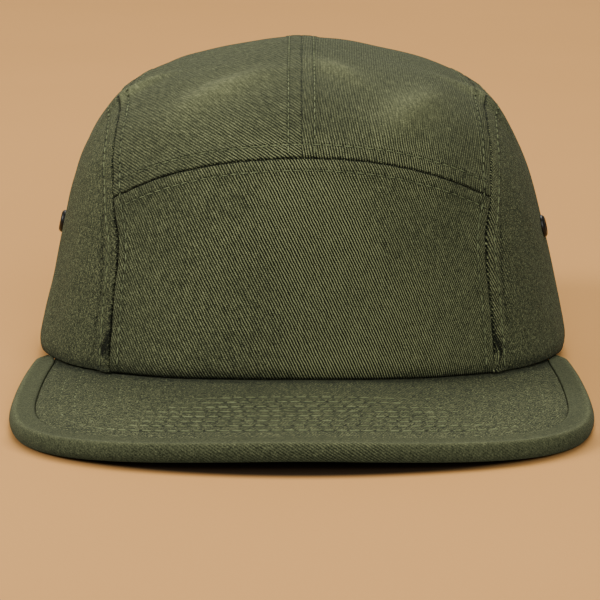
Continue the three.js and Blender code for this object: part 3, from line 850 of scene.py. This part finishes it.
def bill(finish):
    stations = BillStations(BILL_LINES["stations"])
    half = BILL["half_thickness"]
    under = BINDING["half_thickness"] - BINDING["cloth"] - 0.3
    upper = [stations.on_run(t, half) for t in np.linspace(0, 1, BILL_LINES["top"])]
    lower = [stations.on_run(t, -half) for t in np.linspace(1, 0, BILL_LINES["underside"])]
    fold = [(stations.width + 0.3, under), (2.4, under), (1.65, under - 0.6)]
    over = [stations.on_edge(inset, rise) for inset, rise in fold]
    back = [stations.on_edge(inset, -rise) for inset, rise in reversed(fold)]
    bm, row, where = closed_strip(np.stack(upper + over + back + lower, axis=1))
    inset, along = outline_inset(where[:, :2])
    relief, nearest = bill_row_relief(inset, along)
    nearest += 3 * round_the_corner(where[:, 0], inset)
    begun = len(upper + over + back)
    on_top = (row > 4) & (row < len(upper))
    underneath = (row > begun + 2) & (row < begun + len(lower) - 6)
    steady = smooth(inset, stations.width.min() + 0.5, 11)
    where[:, 2] += relief * steady * (1.0 * on_top - underneath)
    weave = turned(where[:, 0], where[:, 1], *WALES["bill"])
    place(bm, where)
    layers = layered(bm, weave, nearest, along, bill_root_shade(where))
    close_up(bm)
    return piece_from("bill", bm, finish, ["bill"], "twill", *unlayered(bm, layers))


def bill_binding(finish):
    stations = BillStations(BINDING_STATIONS)
    half, cloth = BINDING["half_thickness"], BINDING["cloth"]
    width = stations.width
    outer = [
        (width + 0.05, half - 0.62), (width + 0.12, half - 0.3), (width - 0.12, half - 0.04),
        (width - 0.55, half + 0.1), (width - 1.2, half + 0.08), (width * 0.7, half - 0.02),
        (width * 0.5, half - 0.02), (width * 0.35, half + 0.06), (2.1, half + 0.2), (1.5, half + 0.2),
        (1.0, half - 0.05), (0.65, half - 0.5), (0.3, half - 1.15), (0.06, half - 1.9), (0.0, 0.0),
    ]
    inner = [(1.3, 0.0), (1.35, half - cloth - 0.7), (1.9, half - cloth - 0.1), (width - 0.3, half - cloth)]
    lower_outer = [(inset, -rise) for inset, rise in reversed(outer[:-1])]
    lower_inner = [(inset, -rise) for inset, rise in reversed(inner[1:])]
    section = outer + lower_outer + lower_inner + inner
    loops = np.stack([stations.on_edge(inset, rise) for inset, rise in section], axis=1)
    bm, row, where = closed_strip(loops)
    where[:, 2] = np.maximum(where[:, 2], 0.2 - BILL["sink"])
    inset, along = outline_inset(where[:, :2])
    wrap = np.append(reach_along(loops[len(loops) // 2]), 60)[row]
    weave = turned(along, wrap, *WALES["bill_binding"])
    place(bm, where)
    layers = layered(bm, weave, inset, along, 0 * inset)
    close_up(bm)
    return piece_from("bill_binding", bm, finish, ["bill_binding"], "binding", *unlayered(bm, layers))


def cloth_band(name, where, normal, weave, finish, slot, thickness):
    """A band of cloth from grids of points, outward directions and cloth coordinates."""
    bm, column, row = grid_of(*where.shape[:2])
    place(bm, where[column, row])
    face_outwards(bm, normal[column, row])
    weave = np.stack(np.broadcast_arrays(*weave), axis=-1)[column, row]
    return give_thickness(piece_from(name, bm, finish, [name], slot, weave), thickness)


def sweatband(finish):
    reach = lambda azimuth: SWEATBAND["open_half_width"] - crown_at_height(azimuth, 0 * azimuth)[..., 0]
    start = float(crossing(reach, 0, math.pi / 2))
    azimuth = start - (math.pi + 2 * start) * np.linspace(0, 1, SWEATBAND_LINES[0])[:, None]
    folded = np.arctan2(np.sin(azimuth), np.cos(azimuth))
    rise = SWEATBAND["rise"] + SWEATBAND["height"] * np.linspace(0, 1, SWEATBAND_LINES[1])[None, :]
    p = crown_at_height(folded + 0 * rise, rim_height(folded) + rise)
    depth = CLOTH + SWEATBAND["gap"]
    normal = crown_normal(p)
    edge = np.minimum(rise - SWEATBAND["rise"], SWEATBAND["rise"] + SWEATBAND["height"] - rise)
    fold = SWEATBAND["fold"] * hump(edge - SWEATBAND["fold_from_edge"], SWEATBAND["fold_reach"])
    where = p + normal * (cloth_lift(p) - depth - fold)[..., None]
    weave = (azimuth * SWEATBAND["cloth_radius"], rise)
    return cloth_band("sweatband", where, normal, weave, finish, "lining_tape", SWEATBAND["thickness"])


def strap_surface(x, z):
    """Points and outward directions of the strap's outer face, just inside the crown's wall."""
    azimuth = crossing(lambda a: np.abs(x) - crown_at_height(a, z)[..., 0], 0, math.pi / 2, x.shape)
    p = crown_at_height(azimuth, z)
    normal = crown_normal(p)
    mirror = points(np.where(x < 0, -1.0, 1.0), 1, 1)
    return (p + normal * (cloth_lift(p) - CLOTH - STRAP["gap"])[..., None]) * mirror, normal * mirror


def back_strap(finish):
    x = STRAP["half_length"] * np.linspace(-1, 1, STRAP_LINES[0])[:, None]
    rise = np.linspace(0, 1, STRAP_LINES[1])[None, :]
    where, normal = strap_surface(x + 0 * rise, STRAP["bottom"] + STRAP["width"] * rise + 0 * x)
    edge = np.minimum(rise, 1 - rise) * STRAP["width"]
    where -= normal * (STRAP["edge_sink"] * hump(edge, STRAP["edge_reach"]) + 0 * x)[..., None]
    weave = (x, STRAP["width"] * rise)
    return cloth_band("back_strap", where, normal, weave, finish, "strap", STRAP["thickness"])


def strap_slider(finish):
    """The frame's slider with its edges rounded."""
    bm = bmesh.new()
    bm.from_mesh(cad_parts["strap_slider"].data)
    bmesh.ops.remove_doubles(bm, verts=bm.verts[:], dist=1e-6)
    bmesh.ops.dissolve_limit(bm, angle_limit=math.radians(2), verts=bm.verts[:], edges=bm.edges[:])
    sharp = [e for e in bm.edges if e.calc_face_angle(0) > math.radians(30)]
    bmesh.ops.bevel(
        bm, geom=sharp, affect="EDGES", offset=SLIDER_EDGE * MM, segments=3, profile=0.5, material=-1,
        clamp_overlap=True)
    return piece_from("strap_slider", bm, finish, ["strap_slider"], "black_metal")


def add_stitch(bm, middle, ahead, normal, kind):
    """One laid thread: a long bead that dips into the cloth at both ends."""
    aside = np.cross(normal, ahead)
    turn = Matrix((ahead, aside, normal)).transposed().to_4x4()
    size = Matrix.Diagonal((kind["length"] / 2 * MM, kind["radius"] * MM, kind["radius"] * MM, 1))
    lying = Matrix.Rotation(math.pi / 2, 4, "Y")
    matrix = Matrix.Translation(Vector(in_frame(middle))) @ turn @ size @ lying
    bmesh.ops.create_uvsphere(bm, u_segments=6, v_segments=6, radius=1, matrix=matrix)


def stitching(name, rows, kind, finish):
    """Stitches along rows of points. Each row comes with its outward directions."""
    bm = bmesh.new()
    step = kind["length"] / 2
    for line, normals in rows:
        reach = reach_along(line)
        at = np.arange(kind["pitch"] / 2, reach[-1], kind["pitch"])
        up = unit(read_along(at, reach, normals))
        ahead = read_along(at + step, reach, line) - read_along(at - step, reach, line)
        ahead = unit(ahead - up * (ahead * up).sum(-1, keepdims=True))
        for stitch in zip(read_along(at, reach, line), ahead, up):
            add_stitch(bm, *stitch, kind)
    return piece_from(name, bm, finish, slot="twill")


# How far apart the points of a crown's row are, how far its thread stands out of the cloth, and how
# far its stitches stay from other seams.
ROW_STEP = 1.2
PROUD = 0.04
SIDE_PROUD = 0.14
CLEAR = {"rim": 1.2, "arch": 0.9, "sides": 0.8, "opening": 1.0}


def crown_row(row, panel, keep, proud=PROUD):
    """A row of stitching laid on a panel's relief, where a test keeps it."""
    line = ROWS[row]["line"]
    line = resampled(line, int(reach_along(line)[-1] / ROW_STEP))
    line = line[keep(line)]
    normal = crown_normal(line)
    lift = panel_relief(panel, line) + proud
    return line + normal * lift[:, None], normal


def crown_stitching(finish):
    above_rim = lambda p: p[:, 2] > rim_under(p) + CLEAR["rim"]
    in_front = lambda p: above_rim(p) & (arch_side(p) > CLEAR["arch"])
    behind = lambda p: above_rim(p) & (arch_side(p) < -CLEAR["arch"]) & clear_of_opening(p)
    inside_sides = lambda p: side_reach(p) < -CLEAR["sides"]
    clear = lambda p: (distance_to_line(p, ARCH)[0] > CLEAR["arch"]) & clear_of_opening(p)
    stitching("stitches_arch", [
        crown_row("above_arch", "top_panel_right", inside_sides),
        crown_row("below_arch", "front_panel", inside_sides),
    ], SEAM_STITCH, finish)
    stitching("stitches_centre", [
        crown_row("centre_left", "top_panel_left", clear),
        crown_row("centre_right", "top_panel_right", clear),
    ], SEAM_STITCH, finish)
    for side in ("left", "right"):
        stitching("stitches_" + side, [
            crown_row(side + "_inside", "front_panel", in_front),
            crown_row(side + "_inside", "top_panel_" + side, behind),
            crown_row(side + "_outside", "side_panel_" + side, above_rim, SIDE_PROUD),
        ], SEAM_STITCH, finish)
    stitching("stitches_opening", [
        crown_row("opening", "top_panel_left", lambda p: above_rim(p) & (p[:, 0] < -CLEAR["sides"])),
        crown_row("opening", "top_panel_right", lambda p: above_rim(p) & (p[:, 0] > CLEAR["sides"])),
    ], SEAM_STITCH, finish)


def angle_of(p):
    return np.degrees(np.arctan2(p[:, 2] - HEART[2], p[:, 1]))


def arch_side(p):
    """How far points lie in front of the arch seam. Behind it the distance is negative."""
    distance, _ = distance_to_line(p, ARCH)
    return np.where(angle_of(p) > ARCH_SEAM["angle"] + ARCH_SEAM["end_drop"], distance, -distance)


def side_reach(p):
    """How far points lie outside the side seams. Between them the distance is negative."""
    x = np.abs(p[:, 0])
    distance, _ = distance_to_line(points(x, p[:, 1], p[:, 2]), RIGHT_SEAM)
    return np.where(x > seam_half_width(angle_of(p)), distance, -distance)


def clear_of_opening(p):
    inside = (np.abs(p[:, 0]) < BACK_OPENING["half_width"]) & (p[:, 1] > 0)
    return ~(inside & (p[:, 2] < opening_height(p[:, 0]) + CLEAR["opening"]))


def bill_stitching(finish):
    stations = BillStations(STITCHED_LINES[0])
    shares = np.linspace(0, 1, STITCHED_LINES[1])
    top = np.stack([stations.on_run(t, BILL["half_thickness"]) for t in shares], axis=1)
    inset, _ = outline_inset(top[..., :2].reshape(-1, 2))
    inset = inset.reshape(top.shape[:2])
    rows = []
    for k in range(BILL_ROWS["count"]):
        at = BILL_ROWS["first"] + BILL_ROWS["pitch"] * k
        line = np.array([
            [np.interp(-at, -depths, section[:, axis]) for axis in range(3)]
            for depths, section in zip(inset, top) if depths[0] > at > depths[-1]])
        line = line[crown_field(line + WALL_ABOVE) > 0.99]
        relief, _ = bill_row_relief(np.full(len(line), at), 0 * line[:, 0])
        line[:, 2] += relief + BILL_ROWS["lift"] - BILL_ROWS["side_sink"] * round_the_corner(line[:, 0], at)
        line = resampled(line, POINTS["bill_row"])
        rows.append((line, np.tile([0.0, 0.0, 1.0], (len(line), 1))))
    stitching("stitches_bill", rows, BILL_STITCH, finish)


class Value:
    """A number that varies over a surface. Arithmetic on it adds Math nodes."""

    def __init__(self, finish, socket):
        self.finish = finish
        self.socket = socket

    def math(self, operation, *others):
        node = self.finish.node("ShaderNodeMath", {"operation": operation}, dict(enumerate(others)))
        return Value(self.finish, node.outputs[0])

    def __add__(self, other):
        return self.math("ADD", self, other)

    def __sub__(self, other):
        return self.math("SUBTRACT", self, other)

    def __rsub__(self, other):
        return self.math("SUBTRACT", other, self)

    def __mul__(self, other):
        return self.math("MULTIPLY", self, other)

    def __truediv__(self, other):
        return self.math("DIVIDE", self, other)

    def __pow__(self, other):
        return self.math("POWER", self, other)

    def fraction(self):
        return self.math("FRACT", self)

    def sine(self):
        return self.math("SINE", self)

    def absolute(self):
        return self.math("ABSOLUTE", self)

    def above(self, low, high):
        """0 below low, 1 above high and smooth between them."""
        settings = {"interpolation_type": "SMOOTHSTEP"}
        node = self.finish.node(
            "ShaderNodeMapRange", settings, {"Value": self, "From Min": low, "From Max": high})
        return Value(self.finish, node.outputs[0])

    def hump(self, reach):
        """1 at zero, falling away on both sides over some reach."""
        return self.math("EXPONENT", (self / reach) ** 2 * -1)


class Finish:
    """A material and its nodes."""

    def __init__(self, name):
        self.material = bpy.data.materials.new(name)
        self.material.use_nodes = True
        self.tree = self.material.node_tree
        self.tree.nodes.clear()

    def node(self, kind, settings=None, sockets=None):
        """Adds a node, with its settings first and then the values or links of its sockets."""
        made = self.tree.nodes.new(kind)
        for name, value in (settings or {}).items():
            if name == "stops":
                elements = made.color_ramp.elements
                while len(elements) < len(value):
                    elements.new(0.5)
                for stop, (position, colour) in zip(elements, value):
                    stop.position = position
                    stop.color = (*colour, 1)
            else:
                setattr(made, name, value)
        for name, value in (sockets or {}).items():
            if isinstance(value, Value):
                value = value.socket
            if isinstance(value, bpy.types.NodeSocket):
                self.tree.links.new(value, made.inputs[name])
            else:
                made.inputs[name].default_value = value
        return made

    def ramp(self, place, stops):
        """A colour for each value, between stops that name a place and a colour."""
        return self.node("ShaderNodeValToRGB", {"stops": stops}, {0: place}).outputs[0]

    def object_place(self):
        return self.node("ShaderNodeTexCoord").outputs["Object"]

    def parts(self, vector):
        split = self.node("ShaderNodeSeparateXYZ", None, {0: vector})
        return [Value(self, part) for part in split.outputs]

    def weave(self):
        """The cloth coordinates across and along the wales, in millimetres."""
        return self.parts(self.node("ShaderNodeUVMap", {"uv_map": "weave"}).outputs[0])[:2]

    def row(self):
        """How far from a row of stitching, along it, and from a seam, in millimetres."""
        kept = self.node("ShaderNodeAttribute", {"attribute_name": "stitch_row"})
        return self.parts(kept.outputs["Vector"])

    def wear(self):
        """1 where the cloth is rubbed pale with a painted highlight, and -1 where painted shade darkens it.
        """
        return Value(self, self.node("ShaderNodeAttribute", {"attribute_name": "wear"}).outputs["Fac"])

    def noise(self, scale, detail=2.0, roughness=0.5, vector=None, stretch=None):
        """Noise over the object, with its scale in waves for each metre."""
        vector = vector or self.object_place()
        if stretch:
            vector = self.node("ShaderNodeMapping", None, {"Vector": vector, "Scale": stretch}).outputs[0]
        sockets = {"Vector": vector, "Scale": scale, "Detail": detail, "Roughness": roughness}
        return Value(self, self.node("ShaderNodeTexNoise", None, sockets).outputs[0])

    def vector(self, x, y, z):
        return self.node("ShaderNodeCombineXYZ", None, {0: x, 1: y, 2: z}).outputs[0]

    def bump(self, height, distance, strength=1.0):
        sockets = {"Height": height, "Distance": distance, "Strength": strength}
        return self.node("ShaderNodeBump", None, sockets).outputs[0]

    def surface(self, colour, roughness, normal=None, **fixed):
        """The shader and the output. Fixed values go straight on the shader's sockets."""
        sockets = {"Base Color": colour, "Roughness": roughness}
        if normal:
            sockets["Normal"] = normal
        sockets.update({name.replace("_", " "): value for name, value in fixed.items()})
        shader = self.node("ShaderNodeBsdfPrincipled", None, sockets)
        self.node("ShaderNodeOutputMaterial", None, {"Surface": shader.outputs[0]})
        return self.material


# The cloth's colour as it reflects, and the pitch of its wales and of the yarn along them.
OLIVE = (0.0545, 0.0595, 0.0290)
WALE = 0.79
YARN = 0.62

# The heights in metres between which the crown's cloth is brushed smoother.
BRUSHED = (0.066, 0.098)

# Where the twill shows crisply: round this x in metres, and near the seams to the right of it.
CRISP = {"x": 0.007, "reach": 0.045, "seam_reach": 5.0, "right": (0.0, 0.04)}


def olive(times, shade=1.0):
    """The cloth's colour, so many times as light in each channel."""
    times = times if isinstance(times, tuple) else (times,) * 3
    return tuple(c * k * shade for c, k in zip(OLIVE, times))


def cloth_finish(
        name, clarity, grain, pitch=None, highlight_inset=None, row_shade=0.1, seam_clarity=0.0, shade=1.0):
    """Garment-washed cotton twill: slanted wales of twisted yarn, slubs, fading and pressed seams.

    Clarity is how plainly the wales show, and grain how strongly the brushed nap speckles them.
    Painted shade darkens the seam creases, the grooves along the stitching, the needle holes, the
    crown's foot and the bill's root; painted highlights lighten the crests of narrow folds and the
    binding's front crease.
    """
    finish = Finish(name)
    across, along = finish.weave()
    right, _, height = finish.parts(finish.object_place())
    brushed = height.above(*BRUSHED)
    near, run, seam = finish.row()
    wear = finish.wear()
    rubbed_and_highlit = wear.above(0.0, 1.0)
    crisp = (right - CRISP["x"]).hump(CRISP["reach"]) * 0.85
    crisp = crisp + seam.hump(CRISP["seam_reach"]) * right.above(*CRISP["right"]) * seam_clarity + 0.15
    crisp = crisp * (1 - brushed * 0.85) * (1 - rubbed_and_highlit * 0.75)
    wander = finish.noise(330, 2, 0.6) - 0.5
    lane = across / WALE + wander * 0.7
    wale = (lane * (2 * math.pi)).sine()
    bead = ((along / YARN + lane * 0.5) * (2 * math.pi)).sine()
    slub = finish.noise(1.0, 3, 0.6, vector=finish.vector(across * 1.5, along * 0.25, 0.0)) - 0.5
    speckle = finish.noise(2300, 2, 0.8) - 0.5
    nap = finish.noise(900, 3, 0.6) - 0.5
    patch = finish.noise(30, 2, 0.5).above(0.34, 0.62)
    fading = finish.noise(22, 3, 0.55) - 0.5
    ridge = wale * (patch * 0.4 + 0.6) * crisp * clarity
    fuzz = (speckle * 1.5 + nap * 0.5) * (1 - brushed * 0.45) * grain
    light = ridge * 0.68 + ridge * bead * 0.25 + slub * (0.6 * clarity) + fuzz
    # Wear and painted light: narrow folds rubbed pale with a painted highlight, and painted shade at the
    # crown's foot and the bill's root.
    light = light + fading * 0.14 + wear * 0.17 + 0.5
    relief = ridge * 0.4 + bead * (0.12 * clarity) + slub * (0.4 * clarity) + fuzz * 0.6
    if pitch:
        # Painted shade: the needle holes, a groove along each row of stitching and the crease of each seam
        # are darker in the colour; the holes also sink in the bump.
        gap = ((run / pitch).fraction() - 0.5).absolute().above(0.36, 0.46)
        hole = gap * near.hump(0.34)
        crease_shade = (seam + speckle * 2.2).hump(0.34)
        light = light - near.hump(0.6) * row_shade - hole * 0.28 - crease_shade * 0.5
        relief = relief - hole * 1.4
    if highlight_inset:
        # A painted highlight on the binding's front crease, this far in from its outline.
        light = light + (near - highlight_inset).hump(0.8) * 0.1
    ramp = finish.ramp(light, [
        (0.0, olive((0.05, 0.06, 0.05), shade)),
        (0.34, olive((0.38, 0.40, 0.38), shade)),
        (0.62, olive((1.5, 1.45, 1.45), shade)),
        (1.0, olive((4.8, 4.5, 4.4), shade)),
    ])
    normal = finish.bump(relief, 0.0003, 0.8)
    return finish.surface(
        ramp, 0.93, normal, Sheen_Weight=0.05, Sheen_Roughness=0.5,
        Sheen_Tint=(0.7, 0.75, 0.5, 1.0), Specular_IOR_Level=0.15)


def thread_finish():
    """Matching cotton thread, a little lighter than the cloth and twisted."""
    finish = Finish("thread")
    twist = finish.noise(2600, 2, 0.6, stretch=(1.0, 1.0, 0.5))
    fading = finish.noise(120, 3, 0.6)
    light = twist * 0.5 + (fading - 0.5) * 0.7 + 0.25
    ramp = finish.ramp(light, [(0.3, olive(1.1)), (0.5, olive(2.6)), (0.75, olive(4.4))])
    normal = finish.bump(twist, 0.00015, 0.7)
    return finish.surface(ramp, 0.85, normal, Specular_IOR_Level=0.2)


def tape_finish(name, shade, rib):
    """Flat woven tape with fine ribs across it."""
    finish = Finish(name)
    along, across = finish.weave()
    ribs = (along * (2 * math.pi / rib)).sine() * 0.5 + 0.5
    cross = (across * (2 * math.pi / (rib * 1.6)) + (along * (math.pi / rib)).sine()).sine() * 0.5 + 0.5
    speckle = finish.noise(900, 3, 0.65)
    light = ribs * 0.35 + cross * 0.25 + speckle * 0.7
    stops = ((0.25, 0.45), (0.6, 1.0), (0.95, 1.7))
    ramp = finish.ramp(light, [(at, olive(times, shade)) for at, times in stops])
    normal = finish.bump(ribs * 0.6 + cross * 0.4 + speckle * 0.3, 0.0003, 0.8)
    return finish.surface(ramp, 0.9, normal, Sheen_Weight=0.2, Specular_IOR_Level=0.25)


def enamel_finish():
    """Black enamel on metal, worn a little where it is touched."""
    finish = Finish("black_enamel")
    cloud = finish.noise(260, 3, 0.6)
    grain = finish.noise(2400, 2, 0.6)
    ramp = finish.ramp(cloud, [(0.3, (0.003, 0.003, 0.003)), (0.8, (0.010, 0.010, 0.009))])
    normal = finish.bump(grain, 0.00003, 0.5)
    return finish.surface(ramp, cloud * 0.2 + 0.22, normal, Specular_IOR_Level=0.25)


# The deep shade on the floor under the front of the bill, in metres.
UNDER_BILL = {"half_width": 0.085, "middle_y": -0.09, "reach": 0.0425, "edge": (0.8, 1.12), "light": 0.03}
FLOOR_SIZE = 6


def floor_finish():
    finish = Finish("floor")
    cloud = finish.noise(3.0, 3, 0.5)
    ramp = finish.ramp(cloud, [(0.3, (0.64, 0.315, 0.096)), (0.7, (0.68, 0.335, 0.104))])
    x, y, _ = finish.parts(finish.object_place())
    x = x / UNDER_BILL["half_width"]
    y = (y - UNDER_BILL["middle_y"]) / UNDER_BILL["reach"]
    lit = (x * x + y * y).above(*UNDER_BILL["edge"]) * (1 - UNDER_BILL["light"]) + UNDER_BILL["light"]
    shaded = finish.node("ShaderNodeVectorMath", {"operation": "SCALE"}, {0: ramp, "Scale": lit})
    grain = finish.noise(900, 2, 0.6)
    normal = finish.bump(grain, 0.0002, 0.3)
    return finish.surface(shaded.outputs[0], 0.85, normal, Specular_IOR_Level=0.15)


def floor():
    bm = bmesh.new()
    bmesh.ops.create_grid(bm, x_segments=8, y_segments=8, size=FLOOR_SIZE)
    plane = added("floor", mesh_from("floor", bm, floor_finish()))
    # The floor's colour stays off the cloth above it.
    plane.visible_diffuse = False


CAMERA = {
    "distance": 1.0, "elevation": 12.5, "aim": (-0.5 * MM, 28.65 * MM, 15.5 * MM), "focal_pixels": 3020,
    "frame_pixels": 600, "sensor": 36,
}


def camera():
    """The photograph's camera. Its focal length is named in pixels of the frame."""
    data = bpy.data.cameras.new("camera")
    data.sensor_width = CAMERA["sensor"]
    data.lens = data.sensor_width * CAMERA["focal_pixels"] / CAMERA["frame_pixels"]
    camera_object = added("camera", data)
    turn = math.radians(CAMERA["elevation"])
    back = Vector((0, -math.cos(turn), math.sin(turn)))
    camera_object.location = Vector(CAMERA["aim"]) + back * CAMERA["distance"]
    camera_object.rotation_euler = back.to_track_quat("Z", "Y").to_euler()
    bpy.context.scene.camera = camera_object


LIGHTS = [
    {"name": "window", "at": (-1.25, -0.1, 0.85), "size": 0.5, "watts": 16, "tint": (1.0, 1.0, 0.96)},
    {"name": "overhead", "at": (0.15, 0.8, 1.6), "size": 0.9, "watts": 15, "tint": (1.0, 0.985, 0.87)},
    {"name": "front", "at": (0.3, -1.6, 1.2), "size": 1.6, "watts": 38, "tint": (0.98, 1.0, 0.98)},
    {"name": "far_floor", "at": (0, 2.6, 2.2), "size": 2.2, "watts": 36, "tint": (1.0, 0.98, 0.95),
     "aim": (0, 1.9, 0)},
]
ROOM = {"colour": (0.95, 1.0, 0.9, 1.0), "strength": 0.2}


def lights():
    for row in LIGHTS:
        data = bpy.data.lights.new(row["name"], "AREA")
        data.size = row["size"]
        data.energy = row["watts"]
        data.color = row["tint"]
        lamp = added(row["name"], data)
        lamp.location = row["at"]
        aim = Vector(row.get("aim", (0, 0, 0)))
        lamp.rotation_euler = (Vector(row["at"]) - aim).to_track_quat("Z", "Y").to_euler()
    world = bpy.data.worlds.new("room")
    bpy.context.scene.world = world
    world.use_nodes = True
    background = world.node_tree.nodes["Background"]
    background.inputs["Color"].default_value = ROOM["colour"]
    background.inputs["Strength"].default_value = ROOM["strength"]


twill = cloth_finish("twill", 1.0, 0.75, SEAM_STITCH["pitch"])
side_twill = cloth_finish("side_twill", 0.5, 1.35, SEAM_STITCH["pitch"], seam_clarity=0.9)
# The bill's copy of the twill is painted a little darker all over, as painted shade on the bill.
bill_twill = cloth_finish("bill_twill", 0.2, 1.6, BILL_STITCH["pitch"], row_shade=0.3, shade=0.95)
bias_twill = cloth_finish("bias_twill", 0.2, 0.6, highlight_inset=1.7)
thread = thread_finish()
tape = tape_finish("sweatband_tape", 0.85, 1.1)
webbing = tape_finish("strap_webbing", 0.9, 1.8)
enamel = enamel_finish()

camera()
lights()
floor()
front_panel(twill)
top_panel("top_panel_left", -1, twill)
top_panel("top_panel_right", 1, twill)
side_panel("side_panel_left", -1, side_twill)
side_panel("side_panel_right", 1, side_twill)
bill(bill_twill)
bill_binding(bias_twill)
sweatband(tape)
back_strap(webbing)
strap_slider(enamel)
eyelet("eyelet_left", -1, enamel)
eyelet("eyelet_right", 1, enamel)
crown_stitching(thread)
bill_stitching(thread)
